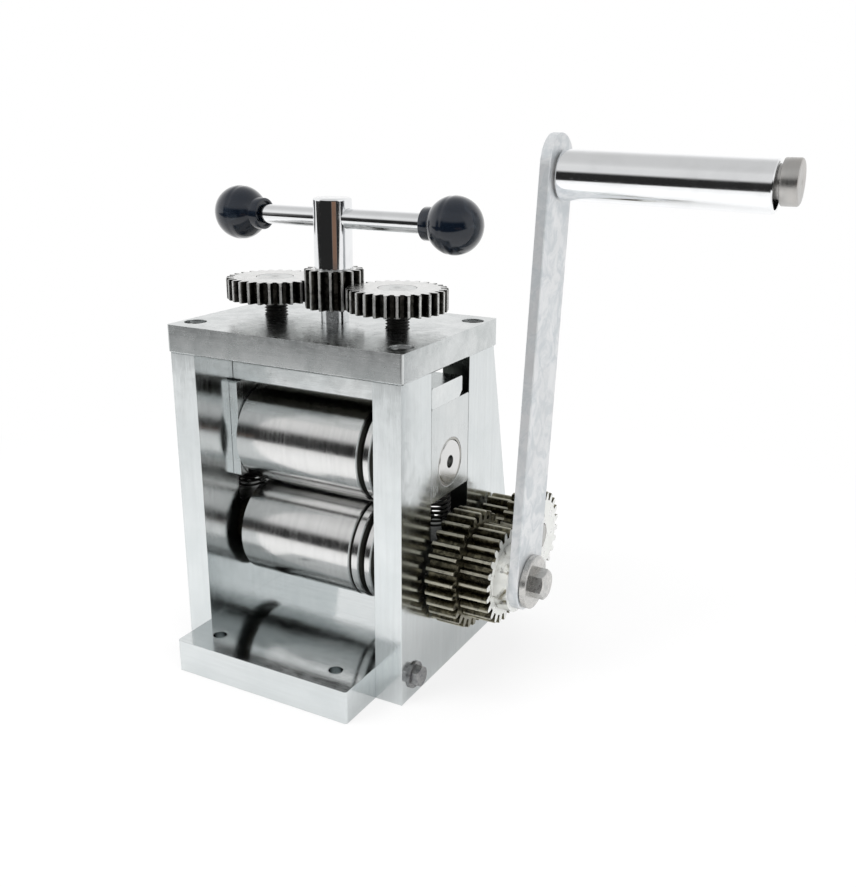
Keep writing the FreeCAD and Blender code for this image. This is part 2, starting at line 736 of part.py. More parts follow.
def jack_gear(x, phase):
    gear = standard_gear(jack_teeth, jack_module, jack_thinning, phase, jack_gear_z1 - jack_gear_z0, 0.4)
    gear.translate(V(x, 0, jack_gear_z0))
    return gear.cut(rod_z(jack_head_r, jack_gear_z0 - 1, jack_gear_z1 + 1, x))


def jack_pin(x, side):
    """Small pin half in the screw head and half in the gear, so that both turn together."""
    y = side * jack_head_r
    return rod_z(1.25, jack_gear_z0 + 2, jack_gear_z1 - 0.2, x, y)


def adjuster_post():
    """Stepped post with a cross hole for the sliding bar."""
    c0, c1 = post_clip_z
    profile = [(post_foot, 0), (post_foot, post_tail_r - 0.4), (post_foot + 0.4, post_tail_r),
               (c0, post_tail_r), (c0, post_tail_r - 0.7), (c1, post_tail_r - 0.7), (c1, post_tail_r),
               (cap_top + 0.05, post_tail_r), (cap_top + 0.05, post_shank_r), (pinion_z1, post_shank_r),
               (pinion_z1, post_head_r - 0.4), (pinion_z1 + 0.4, post_head_r),
               (post_top - 0.8, post_head_r), (post_top, post_head_r - 0.8), (post_top, 0)]
    post = turned_z(profile)
    along = V(math.cos(bar_turn), math.sin(bar_turn), 0)
    start = V(0, 0, bar_z) - along * 20
    hole = Part.makeCylinder(bar_r + run_gap, 40, start, along)
    mouths = []
    for s in (-1, 1):
        face = V(0, 0, bar_z) + along * (s * (post_head_r - 1.0))
        mouths.append(Part.makeCone(bar_r + run_gap, bar_r + 2.05, 2.0, face, along * s))
    slot = box(-1.5, 1.5, -post_shank_r - 1, 1.3 - post_shank_r, pinion_z0 + 1, pinion_z1 - 1)
    return post.cut(Part.makeCompound([hole, slot] + mouths))


def adjuster_pinion():
    gear = standard_gear(pinion_teeth, jack_module, jack_thinning, pinion_phase, pinion_z1 - pinion_z0, 0.4)
    gear.translate(V(0, 0, pinion_z0))
    bore = rod_z(post_shank_r, pinion_z0 - 1, pinion_z1 + 1)
    slot = box(-1.5, 1.5, -post_shank_r - 1.2, 0, pinion_z0 - 1, pinion_z1 + 1)
    return gear.cut(Part.makeCompound([bore, slot]))


def adjuster_key():
    return box(-1.5, 1.5, -post_shank_r - 1.2, 1.3 - post_shank_r, pinion_z0 + 1, pinion_z1 - 1)


def post_clip():
    """Open retaining ring under the post, sunk in the top plate."""
    c0, c1 = post_clip_z
    ring = turned_z([(c0, post_tail_r - 0.7), (c0, post_tail_r + 1.7),
                     (c1, post_tail_r + 1.7), (c1, post_tail_r - 0.7)])
    return ring.cut(box(-1.6, 1.6, 0, 12, c0 - 1, c1 + 1))


def along_bar(shape):
    """Turn a shape built along X through the post to the bar's own direction."""
    turned_shape = shape.copy()
    turned_shape.rotate(V(0, 0, 0), V(0, 0, 1), math.degrees(bar_turn))
    return turned_shape


def tommy_bar():
    reach = bar_half - ball_neck_end + ball_bore_depth - 0.2
    steps = [(bar_offset - reach, bar_offset + reach, bar_r)]
    return along_bar(turned_x(shaft_profile(steps, 0.6), 0, bar_z))


def ball_knob(side):
    """Ball with a short wide neck, bored for the bar end and recessed around it."""
    joint = math.sqrt(ball_r ** 2 - ball_neck_r ** 2)
    mid = 0.5 * math.atan2(ball_neck_r, -joint)
    neck = [V(-joint, ball_neck_r, 0), V(0.5 - ball_neck_end, ball_neck_r, 0),
            V(-ball_neck_end, ball_neck_r - 0.5, 0), V(-ball_neck_end, ball_mouth_r, 0),
            V(ball_mouth_depth - ball_neck_end, ball_mouth_r, 0), V(ball_mouth_depth - ball_neck_end, bar_r, 0),
            V(ball_bore_depth - ball_neck_end, bar_r, 0), V(ball_bore_depth - ball_neck_end, 0, 0),
            V(ball_r, 0, 0)]
    rim = V(ball_r * math.cos(mid), ball_r * math.sin(mid), 0)
    edges = [Part.makeLine(a, b) for a, b in zip(neck, neck[1:])]
    edges.append(Part.Arc(V(ball_r, 0, 0), rim, V(-joint, ball_neck_r, 0)).toShape())
    knob = Part.Face(Part.Wire(edges)).revolve(V(0, 0, 0), V(1, 0, 0), 360)
    if side < 0:
        knob = knob.mirror(V(0, 0, 0), V(1, 0, 0))
    knob.translate(V(bar_offset + side * bar_half, 0, bar_z))
    return along_bar(knob)


# Places that follow from the sizes above
idler_z = lower_z + idler_rise
idler_y = math.sqrt(train_distance ** 2 - idler_rise ** 2)
train_direction = math.atan2(idler_rise, idler_y)
crank_gear_phase = math.radians(3.0)
idler_large_phase = mating_phase(crank_teeth, crank_gear_phase, idler_large_teeth, train_direction)
roll_gear_phase = math.radians(1.5)
idler_small_phase = mating_phase(roll_gear_teeth, roll_gear_phase, idler_small_teeth, train_direction)
dowel_angle = math.radians(84.0)
idler_clip_x = (plate_in - 2.2, plate_in - 1.0)
handle_y = crank_throw * math.sin(crank_lean)
handle_z = lower_z + crank_throw * math.cos(crank_lean)
grip_pivot_x = (grip_x0 + spindle_shoulder_x1) / 2
grip_droop = math.asin((grip_bore_r - spindle_r - slide_gap) / (grip_x1 - grip_pivot_x))
shaft_right = arm_x1 + run_gap
clip_x0 = couple_x0 - 1.3
clip_x1 = couple_x0 - 0.1
shaft_left = clip_x0 - 1.5
pinion_phase = math.radians(4.0)
clip_recess_r = 8.5
clip_recess_top = plate_top + 3.4
post_foot = plate_top + 0.4
post_clip_z = (clip_recess_top - 1.25, clip_recess_top - 0.05)

# Frame nodes
save("base_plate", base_plate())
save("left_side_plate", side_plate(-1))
save("right_side_plate", side_plate(1))
save("top_plate", top_plate())
save("top_plate_screws", *[socket_screw(x, y) for x in (-cap_screw_x, cap_screw_x)
                           for y in (-cap_screw_y, cap_screw_y)])
side_bolts = [side_bolt(s, y) for s in (-1, 1) for y in (side_bolt_front_y, side_bolt_back_y)]
save("side_plate_bolts", *[bolt for bolt, washer in side_bolts])
save("side_plate_washers", *[washer for bolt, washer in side_bolts])
save("lower_left_bush", thrust_bush(-1))
save("lower_right_bush", thrust_bush(1))
save("idler_bush", turned_x([(plate_in, idler_shaft_r + run_gap), (plate_in, idler_shaft_r + bush_wall),
                             (plate_out, idler_shaft_r + bush_wall), (plate_out, idler_shaft_r + run_gap)],
                            idler_y, idler_z))

# Lower roll nodes
save("lower_roll", lower_roll())
save("lower_roll_gear", roll_gear())
save("lower_roll_gear_key", key_block(inner_gear_x0 + 0.6, inner_gear_x1, lower_z, 1))
save("gear_thrust_washer", turned_x([(plate_out + slide_gap, gear_seat_r), (plate_out + slide_gap, 14.0),
                                     (inner_gear_x0, 14.0), (inner_gear_x0, gear_seat_r)], 0, lower_z))
save("crank_end_washer", end_washer())
save("crank_end_bolt", end_bolt())
lower_phase = math.pi / 2
upper_phase = mating_phase(couple_teeth, lower_phase, couple_teeth, math.pi / 2)
save("lower_coupling_gear", coupling_gear(lower_z, lower_phase))
save("lower_coupling_key", key_block(couple_x0, couple_x1, lower_z, 1))
save("lower_coupling_clip", snap_ring(clip_x0 + 0.02, clip_x1 - 0.02, 0, lower_z, gear_seat_r, 0.9))

# Upper roll and carriage nodes
save("upper_roll", upper_roll())
save("upper_coupling_gear", coupling_gear(upper_z, upper_phase))
save("upper_coupling_key", key_block(couple_x0, couple_x1, upper_z, 1))
save("upper_coupling_clip", snap_ring(clip_x0 + 0.02, clip_x1 - 0.02, 0, upper_z, gear_seat_r, 0.9))
save("left_bearing_block", bearing_block(-1))
save("right_bearing_block", bearing_block(1))
save("upper_left_bush", block_bush(-1))
save("upper_right_bush", block_bush(1))
save("pressure_beam", pressure_beam())
save("left_lift_spring", lift_spring(-spring_x))
save("right_lift_spring", lift_spring(spring_x))

# Idler nodes
save("idler_large_gear", idler_gear(idler_large_teeth, idler_large_phase, outer_gear_x0, outer_gear_x1, False))
save("idler_small_gear", idler_gear(idler_small_teeth, idler_small_phase, inner_gear_x0,
                                    outer_gear_x0, True))
save("idler_shaft", idler_shaft())
save("idler_dowels", *[rod_x(dowel_r, inner_gear_x0 + 2, outer_gear_x1 - 0.2, *dowel_place(s))
                       for s in (-1, 1)])
save("idler_clip", snap_ring(idler_clip_x[0] + 0.02, idler_clip_x[1] - 0.02, idler_y, idler_z,
                             idler_shaft_r, 0.8))

# Crank nodes
save("crank_gear", crank_gear())
save("crank_arm", crank_arm())
save("handle_spindle", handle_spindle())
save("handle_grip", handle_grip())

# Gap adjuster nodes
right_jack_phase = mating_phase(pinion_teeth, pinion_phase, jack_teeth, 0.0)
left_jack_phase = mating_phase(pinion_teeth, pinion_phase, jack_teeth, math.pi)
for side_name, x, phase in (("left", -jack_x, left_jack_phase), ("right", jack_x, right_jack_phase)):
    pins = [jack_pin(x, s) for s in (-1, 1)]
    save(side_name + "_jack_screw", jack_screw(x).cut(Part.makeCompound(pins)))
    save(side_name + "_jack_gear", jack_gear(x, phase).cut(Part.makeCompound(pins)))
    save(side_name + "_jack_pins", *pins)
save("adjuster_post", adjuster_post())
save("adjuster_pinion", adjuster_pinion())
save("adjuster_key", adjuster_key())
save("adjuster_post_clip", post_clip())
save("tommy_bar", tommy_bar())
save("left_ball_knob", ball_knob(-1))
save("right_ball_knob", ball_knob(1))
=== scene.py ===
"""Looks of a jewellers rolling mill: smooth turned pieces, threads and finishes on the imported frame."""
import logging
import math
from dataclasses import dataclass, replace
from enum import Enum
from typing import List, Optional, Sequence, Tuple

import bmesh
import bpy
from mathutils import Matrix, Vector


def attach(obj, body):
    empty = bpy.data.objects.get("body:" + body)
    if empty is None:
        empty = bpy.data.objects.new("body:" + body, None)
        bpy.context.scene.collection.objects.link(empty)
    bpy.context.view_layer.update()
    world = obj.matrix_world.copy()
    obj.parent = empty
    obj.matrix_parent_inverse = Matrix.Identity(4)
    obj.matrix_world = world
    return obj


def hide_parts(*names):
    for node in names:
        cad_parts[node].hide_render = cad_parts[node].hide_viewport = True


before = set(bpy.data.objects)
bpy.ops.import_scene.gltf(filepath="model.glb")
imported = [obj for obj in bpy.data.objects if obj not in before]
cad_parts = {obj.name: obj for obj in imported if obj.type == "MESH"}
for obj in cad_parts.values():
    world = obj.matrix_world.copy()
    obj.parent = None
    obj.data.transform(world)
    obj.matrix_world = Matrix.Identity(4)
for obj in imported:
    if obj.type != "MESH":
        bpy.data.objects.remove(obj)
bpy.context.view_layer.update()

MM = 0.001
THREAD_SUNK = 0.3
THREAD_FILL = 0.98
THREAD_STEPS = 28
LOG = logging.getLogger("rolling_mill")

Profile = Sequence[Tuple[float, float]]
Colour = Tuple[float, float, float]
Points = List[Tuple[float, float]]


class Axis(Enum):
    """Direction of the axis that a turned piece stands on."""

    ALONG_ROLLS = "x"
    UPRIGHT = "z"


class Grain(Enum):
    """Direction in which the marks of grinding or brushing run, as noise scale per axis."""

    ALONG_X = (0.04, 1.0, 1.0)
    ALONG_Z = (1.0, 1.0, 0.04)
    AROUND_X = (1.0, 0.03, 0.03)
    AROUND_Z = (0.03, 0.03, 1.0)
    NONE = (1.0, 1.0, 1.0)


def mm(*values: float) -> Vector:
    """Return millimetres as a vector in metres."""
    return Vector([v * MM for v in values])


def shaded(colour: Colour, share: float) -> Colour:
    """Return a colour times a number."""
    return tuple(share * c for c in colour)


def deselect_all() -> None:
    """Leave edit mode and deselect every object."""
    if bpy.context.object is not None and bpy.context.object.mode != "OBJECT":
        bpy.ops.object.mode_set(mode="OBJECT")
    bpy.ops.object.select_all(action="DESELECT")


def make_active(piece: bpy.types.Object) -> None:
    """Select one object only and make it the active one.

    Args:
        piece: The object to work on.
    """
    deselect_all()
    piece.select_set(True)
    bpy.context.view_layer.objects.active = piece


def select_ring(piece: bpy.types.Object, height: float, radius: float) -> None:
    """Select the ring of vertices at a height and radius of an upright turned mesh in edit mode.

    Args:
        piece: The object in edit mode.
        height: Height of the ring in metres.
        radius: Radius of the ring in metres.
    """
    bpy.ops.mesh.select_mode(type="VERT")
    bpy.ops.mesh.select_all(action="DESELECT")
    mesh = bmesh.from_edit_mesh(piece.data)
    for vert in mesh.verts:
        if abs(vert.co.z - height) < 1e-7 and abs(math.hypot(vert.co.x, vert.co.y) - radius) < 1e-7:
            vert.select = True
    mesh.select_flush(True)
    bmesh.update_edit_mesh(piece.data)


def place_turned(piece: bpy.types.Object, centre: Vector, axis: Axis) -> None:
    """Lay an upright piece on its axis and put its place in its mesh.

    Args:
        piece: The object, built upright at the origin.
        centre: Point on the axis, in metres.
        axis: Direction of the axis.
    """
    make_active(piece)
    if axis is Axis.ALONG_ROLLS:
        piece.rotation_euler = (0.0, math.pi / 2, 0.0)
    piece.location = centre
    bpy.ops.object.transform_apply(location=True, rotation=True, scale=True)


def turn_piece(name: str, profile: Profile, centre: Vector, axis: Axis, segments: int = 96,
               smooth_angle: float = 28.0) -> bpy.types.Object:
    """Turn a profile into a closed piece, as on a lathe, by extruding and resizing a ring.

    Args:
        name: Name of the new object.
        profile: Pairs of distance along the axis and radius, in millimetres. A profile that ends
            where it starts makes a tube.
        centre: Point on the axis, in metres.
        axis: Direction of the axis.
        segments: Number of segments around.
        smooth_angle: Edges flatter than this many degrees are shaded smooth.

    Returns:
        The finished object, at the origin with its place in its mesh.
    """
    deselect_all()
    along, radius = profile[0]
    is_tube = tuple(profile[0]) == tuple(profile[-1])
    bpy.ops.mesh.primitive_circle_add(vertices=segments, radius=radius * MM, fill_type="NOTHING",
                                      location=(0.0, 0.0, along * MM))
    piece = bpy.context.object
    piece.name = name
    bpy.ops.object.transform_apply(location=True, rotation=True, scale=True)
    bpy.ops.object.mode_set(mode="EDIT")
    bpy.ops.mesh.select_mode(type="EDGE")
    bpy.ops.mesh.select_all(action="SELECT")
    for next_along, next_radius in profile[1:]:
        step = (next_along - along) * MM
        bpy.ops.mesh.extrude_region_move(TRANSFORM_OT_translate={"value": (0.0, 0.0, step)})
        ratio = next_radius / radius
        if abs(ratio - 1.0) > 1e-9:
            bpy.ops.transform.resize(value=(ratio, ratio, 1.0), center_override=(0.0, 0.0, next_along * MM))
        along, radius = next_along, next_radius
    if not is_tube:
        bpy.ops.mesh.edge_face_add()
        select_ring(piece, profile[0][0] * MM, profile[0][1] * MM)
        bpy.ops.mesh.edge_face_add()
    bpy.ops.mesh.select_all(action="SELECT")
    bpy.ops.mesh.remove_doubles(threshold=1e-7)
    bpy.ops.mesh.normals_make_consistent(inside=False)
    bpy.ops.object.mode_set(mode="OBJECT")
    place_turned(piece, centre, axis)
    bpy.ops.object.shade_smooth_by_angle(angle=math.radians(smooth_angle))
    return piece


def bore_through(piece: bpy.types.Object, radius: float, start: Vector, end: Vector) -> None:
    """Drill a round hole through a piece.

    Args:
        piece: The object to drill.
        radius: Radius of the hole in metres.
        start: One end of the drill's path, in metres.
        end: The other end, in metres.
    """
    deselect_all()
    run = end - start
    bpy.ops.mesh.primitive_cylinder_add(vertices=64, radius=radius, depth=run.length,
                                        location=(start + end) / 2,
                                        rotation=run.to_track_quat("Z", "Y").to_euler())
    drill = bpy.context.object
    bpy.ops.object.transform_apply(location=True, rotation=True, scale=True)
    make_active(piece)
    cut = piece.modifiers.new("hole", "BOOLEAN")
    cut.operation = "DIFFERENCE"
    cut.solver = "EXACT"
    cut.object = drill
    bpy.ops.object.modifier_apply(modifier=cut.name)
    bpy.data.objects.remove(drill)


def wind_thread(name: str, core_radius: float, outer_radius: float, pitch: float, low: float, high: float,
                centre: Vector) -> bpy.types.Object:
    """Wind a pointed screw thread upwards around an upright axis.

    Args:
        name: Name of the new object.
        core_radius: Radius at the thread's root in millimetres.
        outer_radius: Radius at the crest in millimetres.
        pitch: Rise of one turn in millimetres.
        low: Height where the thread starts in millimetres.
        high: Height where it ends in millimetres.
        centre: Point on the axis in metres.

    Returns:
        The closed helical ridge.
    """
    deselect_all()
    bpy.ops.mesh.primitive_circle_add(vertices=3, radius=1.0, fill_type="NOTHING")
    ridge = bpy.context.object
    ridge.name = name
    bpy.ops.object.mode_set(mode="EDIT")
    mesh = bmesh.from_edit_mesh(ridge.data)
    sunk = core_radius - THREAD_SUNK
    half = 0.5 * pitch * THREAD_FILL
    corners = [(sunk, -half), (outer_radius, 0.0), (sunk, half)]
    for vert, (radius, height) in zip(mesh.verts, corners):
        vert.co = mm(radius, 0.0, low + 0.5 * pitch + height)
    bmesh.update_edit_mesh(ridge.data)
    bpy.ops.object.mode_set(mode="OBJECT")
    turns = max(1, int((high - low - pitch) / pitch))
    screw = ridge.modifiers.new("thread", "SCREW")
    screw.axis = "Z"
    screw.angle = 2 * math.pi
    screw.screw_offset = pitch * MM
    screw.iterations = turns
    screw.steps = THREAD_STEPS
    screw.render_steps = THREAD_STEPS
    screw.use_merge_vertices = False
    make_active(ridge)
    bpy.ops.object.modifier_apply(modifier=screw.name)
    bpy.ops.object.mode_set(mode="EDIT")
    bpy.ops.mesh.select_mode(type="EDGE")
    bpy.ops.mesh.select_all(action="DESELECT")
    bpy.ops.mesh.select_non_manifold()
    bpy.ops.mesh.fill_holes(sides=3)
    bpy.ops.mesh.select_all(action="SELECT")
    bpy.ops.mesh.normals_make_consistent(inside=False)
    bpy.ops.object.mode_set(mode="OBJECT")
    place_turned(ridge, centre, Axis.UPRIGHT)
    return ridge


def join_pieces(main: bpy.types.Object, *others: bpy.types.Object) -> bpy.types.Object:
    """Join other meshes into the first one.

    Args:
        main: The object that stays.
        others: The objects that become part of it.

    Returns:
        The first object.
    """
    deselect_all()
    for other in others:
        other.select_set(True)
    main.select_set(True)
    bpy.context.view_layer.objects.active = main
    bpy.ops.object.join()
    return main


class NodeBoard:
    """A node tree with short ways to add and join nodes."""

    def __init__(self, tree: bpy.types.NodeTree) -> None:
        """Work on a material's or the world's node tree."""
        self.tree = tree

    def node(self, kind: str, **settings: object) -> bpy.types.Node:
        """Add a node.

        Args:
            kind: Blender's name of the node type.
            settings: The node's own settings.

        Returns:
            The new node.
        """
        added = self.tree.nodes.new(kind)
        for key, value in settings.items():
            setattr(added, key, value)
        return added

    def feed(self, socket: bpy.types.NodeSocket, value: object) -> None:
        """Link a socket to another one, or set its value.

        Args:
            socket: The input.
            value: An output to link, or a number, colour or vector.
        """
        if isinstance(value, bpy.types.NodeSocket):
            self.tree.links.new(value, socket)
        else:
            socket.default_value = value

    def math(self, operation: str, first: object, second: object = 0.0) -> bpy.types.NodeSocket:
        """Combine two numbers.

        Args:
            operation: Name of the operation.
            first: Socket or number.
            second: Socket or number.

        Returns:
            The result.
        """
        added = self.node("ShaderNodeMath", operation=operation)
        self.feed(added.inputs[0], first)
        self.feed(added.inputs[1], second)
        return added.outputs[0]

    def span(self, value: object, low: float, high: float, to_low: float = 0.0,
             to_high: object = 1.0) -> bpy.types.NodeSocket:
        """Map a range of numbers smoothly to another.

        Args:
            value: Socket to map.
            low: Start of its range.
            high: End of its range.
            to_low: Result at the start.
            to_high: Result at the end.

        Returns:
            The result.
        """
        added = self.node("ShaderNodeMapRange", interpolation_type="SMOOTHSTEP")
        for key, number in (("Value", value), ("From Min", low), ("From Max", high), ("To Min", to_low),
                            ("To Max", to_high)):
            self.feed(added.inputs[key], number)
        return added.outputs["Result"]

    def mix(self, amount: object, first: object, second: object) -> bpy.types.NodeSocket:
        """Blend two colours.

        Args:
            amount: Share of the second, from 0 to 1.
            first: Socket, or red, green and blue.
            second: Socket, or red, green and blue.

        Returns:
            The blended colour.
        """
        added = self.node("ShaderNodeMix", data_type="RGBA")
        self.feed(added.inputs["Factor"], amount)
        for key, value in (("A", first), ("B", second)):
            socket = [s for s in added.inputs if s.name == key and s.type == "RGBA"][0]
            self.feed(socket, value if isinstance(value, bpy.types.NodeSocket) else (*value, 1.0))
        return [s for s in added.outputs if s.type == "RGBA"][0]

    def parts(self, vector: bpy.types.NodeSocket) -> bpy.types.bpy_prop_collection:
        """Split a vector.

        Args:
            vector: The vector.

        Returns:
            Its parts by the names X, Y and Z.
        """
        split = self.node("ShaderNodeSeparateXYZ")
        self.feed(split.inputs[0], vector)
        return split.outputs

    def toward(self, way: Sequence[float], parts: bpy.types.bpy_prop_collection) -> bpy.types.NodeSocket:
        """Measure how far a vector points along a level direction.

        Args:
            way: The direction's X and Y.
            parts: The vector's parts.

        Returns:
            The sum of both products.
        """
        return self.math("ADD", self.math("MULTIPLY", parts["X"], way[0]),
                         self.math("MULTIPLY", parts["Y"], way[1]))


class MaterialBoard(NodeBoard):
    """A new material's node tree, with its shader and the object's own coordinates."""

    def __init__(self, name: str) -> None:
        """Start a material with a Principled shader.

        Args:
            name: Name of the material.
        """
        self.material = bpy.data.materials.new(name)
        self.material.use_nodes = True
        super().__init__(self.material.node_tree)
        self.shader = self.tree.nodes["Principled BSDF"]
        self.object_point = self.node("ShaderNodeTexCoord").outputs["Object"]

    def place(self, location: Sequence[float] = (0, 0, 0),
              scale: Sequence[float] = (1, 1, 1)) -> bpy.types.NodeSocket:
        """Move and scale the object's coordinates.

        Args:
            location: Shift in metres.
            scale: Scale along each axis.

        Returns:
            The new coordinates.
        """
        added = self.node("ShaderNodeMapping", vector_type="POINT")
        self.feed(added.inputs["Vector"], self.object_point)
        self.feed(added.inputs["Location"], tuple(location))
        self.feed(added.inputs["Scale"], tuple(scale))
        return added.outputs["Vector"]

    def noise(self, vector: bpy.types.NodeSocket, scale: float, detail: float = 4.0, rough: float = 0.55,
              distortion: float = 0.0) -> bpy.types.NodeSocket:
        """Spread noise over the surface.

        Args:
            vector: Coordinates.
            scale: Spots to the metre.
            detail: Octaves.
            rough: Weight of the fine octaves.
            distortion: Swirl.

        Returns:
            The noise, from 0 to 1.
        """
        added = self.node("ShaderNodeTexNoise")
        for key, value in (("Vector", vector), ("Scale", scale), ("Detail", detail), ("Roughness", rough),
                           ("Distortion", distortion)):
            self.feed(added.inputs[key], value)
        return added.outputs["Fac"]

    def radius_about(self, centre: Sequence[float], axis: Axis) -> bpy.types.NodeSocket:
        """Measure the distance from an axis.

        Args:
            centre: Point on the axis, in millimetres.
            axis: Direction of the axis.

        Returns:
            The distance in metres.
        """
        point = self.parts(self.place(location=[-c * MM for c in centre]))
        pair = ("Y", "Z") if axis is Axis.ALONG_ROLLS else ("X", "Y")
        squares = [self.math("MULTIPLY", point[k], point[k]) for k in pair]
        return self.math("SQRT", self.math("ADD", squares[0], squares[1]))

    def along(self, letter: str) -> bpy.types.NodeSocket:
        """Place along one axis in metres."""
        return self.parts(self.object_point)[letter]

    def facing(self, letter: str) -> bpy.types.NodeSocket:
        """Part of the true normal along one axis."""
        return self.parts(self.node("ShaderNodeNewGeometry").outputs["True Normal"])[letter]

    def bump(self, height: bpy.types.NodeSocket, distance: float, strength: float = 1.0,
             edge: float = 0.0) -> None:
        """Raise the surface and break its edges.

        Args:
            height: Height from 0 to 1.
            distance: What a height of 1 stands for, in metres.
            strength: Share of the effect.
            edge: Radius of the broken edges in metres, or 0 for none.
        """
        added = self.node("ShaderNodeBump")
        if edge > 0.0:
            broken = self.node("ShaderNodeBevel", samples=4)
            self.feed(broken.inputs["Radius"], edge)
            self.feed(added.inputs["Normal"], broken.outputs["Normal"])
        for key, value in (("Height", height), ("Distance", distance), ("Strength", strength)):
            self.feed(added.inputs[key], value)
        self.feed(self.shader.inputs["Normal"], added.outputs["Normal"])

    def set(self, **values: object) -> None:
        """Set or link the shader's inputs.

        Args:
            values: Input names, with underscores for spaces, and their values.
        """
        for key, value in values.items():
            socket = self.shader.inputs[key.replace("_", " ")]
            if isinstance(value, tuple) and socket.type == "RGBA":
                value = (*value, 1.0)
            self.feed(socket, value)


@dataclass(frozen=True)
class GroundSteel:
    """Ground or brushed steel with fine marks, faint clouds and smudges."""

    name: str
    tone: Colour = (0.715, 0.745, 0.75)
    stain: Colour = (0.50, 0.55, 0.56)
    roughness: float = 0.16
    roughness_swing: float = 0.10
    grain: Grain = Grain.ALONG_X
    grain_scale: float = 2600.0
    cloud_scale: float = 38.0
    cloud_amount: float = 0.45
    mark_depth: float = 0.000004
    edge: float = 0.0
    # Dark tone laid where the mask says; the beam's underside uses it as painted shade.
    dirt_and_shade_tone: Colour = (0.05, 0.05, 0.04)
    duller: float = 0.15

    def dirt_and_shade_mask(self, board: MaterialBoard) -> Optional[bpy.types.NodeSocket]:
        """Return where the dark tone lies, from 0 to 1, or None on clean steel; on the rolls it is oil, on
        the window walls and the beam's underside it is painted shade.
        """
        return None

    def material(self) -> bpy.types.Material:
        """Build the material.

        Returns:
            The finished material.
        """
        board = MaterialBoard(self.name)
        grain_point = board.place(scale=self.grain.value)
        fine = board.noise(grain_point, self.grain_scale, 3.0, 0.6)
        coarse = board.noise(grain_point, self.grain_scale * 0.22, 4.0, 0.6)
        cloud = board.noise(board.place(), self.cloud_scale, 6.0, 0.62, 0.4)
        smudge = board.noise(board.place(location=(0.3, 0.1, 0.2)), self.cloud_scale * 3.3, 5.0, 0.6, 0.8)
        shade = board.span(cloud, 0.35, 0.72, 0.0, self.cloud_amount)
        streak = board.span(coarse, 0.38, 0.68, 0.0, 0.35)
        tone = board.mix(shade, self.tone, self.stain)
        tone = board.mix(streak, tone, shaded(self.tone, 0.86))
        rough = board.math("ADD", board.span(smudge, 0.3, 0.75, 0.0, self.roughness_swing),
                           board.span(fine, 0.3, 0.7, self.roughness - 0.03, self.roughness + 0.05))
        # Darker and duller where the mask says: oil in the rolls' grooves, painted shade on the window walls
        # and under the beam.
        where = self.dirt_and_shade_mask(board)
        if where is not None:
            tone = board.mix(where, tone, self.dirt_and_shade_tone)
            rough = board.math("ADD", rough, board.math("MULTIPLY", where, self.duller))
        board.set(Base_Color=tone, Metallic=1.0, Roughness=rough)
        board.bump(board.math("ADD", fine, coarse), self.mark_depth, 0.6, self.edge)
        return board.material


@dataclass(frozen=True)
class WindowSteel(GroundSteel):
    """Ground plate steel whose inner walls near the middle, in the bearing window, carry painted shade: a
    near-black tone and duller gloss.
    """

    window_half: float = 16.4
    window_floor: float = 61.9
    side_fade: float = 0.15
    floor_fade: float = 0.08
    # Near-black tone painted on the window's walls as shade.
    dirt_and_shade_tone: Colour = (0.05, 0.055, 0.05)

    def dirt_and_shade_mask(self, board: MaterialBoard) -> Optional[bpy.types.NodeSocket]:
        """Find the window's walls, where shade is painted.

        Args:
            board: The material's nodes.

        Returns:
            How much painted shade lies there, from 0 to 1.
        """
        inside = board.span(board.math("ABSOLUTE", board.along("Y")), self.window_half * MM,
                            (self.window_half + self.side_fade) * MM, 1.0, 0.0)
        above = board.span(board.along("Z"), self.window_floor * MM,
                           (self.window_floor + self.floor_fade) * MM)
        return board.math("MULTIPLY", inside, above)


@dataclass(frozen=True)
class RollSteel(GroundSteel):
    """Roll steel with oil and dirt lying in the grooves."""

    centre: Tuple[float, float, float] = (0.0, 0.0, 0.0)
    radius: float = 22.0
    half: float = 40.0
    end_fade: float = 0.5
    dirt_depth: Tuple[float, float] = (0.75, 0.12)
    dirt_and_shade_tone: Colour = (0.035, 0.035, 0.03)

    def dirt_and_shade_mask(self, board: MaterialBoard) -> Optional[bpy.types.NodeSocket]:
        """Find whatever lies below the roll's surface.

        Args:
            board: The material's nodes.

        Returns:
            How much dirt lies there, from 0 to 1.
        """
        full, none = self.dirt_depth
        deep = board.span(board.radius_about(self.centre, Axis.ALONG_ROLLS), (self.radius - full) * MM,
                          (self.radius - none) * MM, 1.0, 0.0)
        barrel = board.span(board.math("ABSOLUTE", board.along("X")), self.half * MM,
                            (self.half + self.end_fade) * MM, 1.0, 0.0)
        return board.math("MULTIPLY", deep, barrel)


@dataclass(frozen=True)
class BeamSteel(GroundSteel):
    """Ground steel of the pressure beam, with painted shade on its underside for the upper roll to mirror."""

    duller: float = 0.1

    def dirt_and_shade_mask(self, board: MaterialBoard) -> Optional[bpy.types.NodeSocket]:
        """Return what faces down, where shade is painted."""
        # Painted shade on the faces that point down.
        return board.span(board.facing("Z"), -0.9, -0.5, 1.0, 0.0)


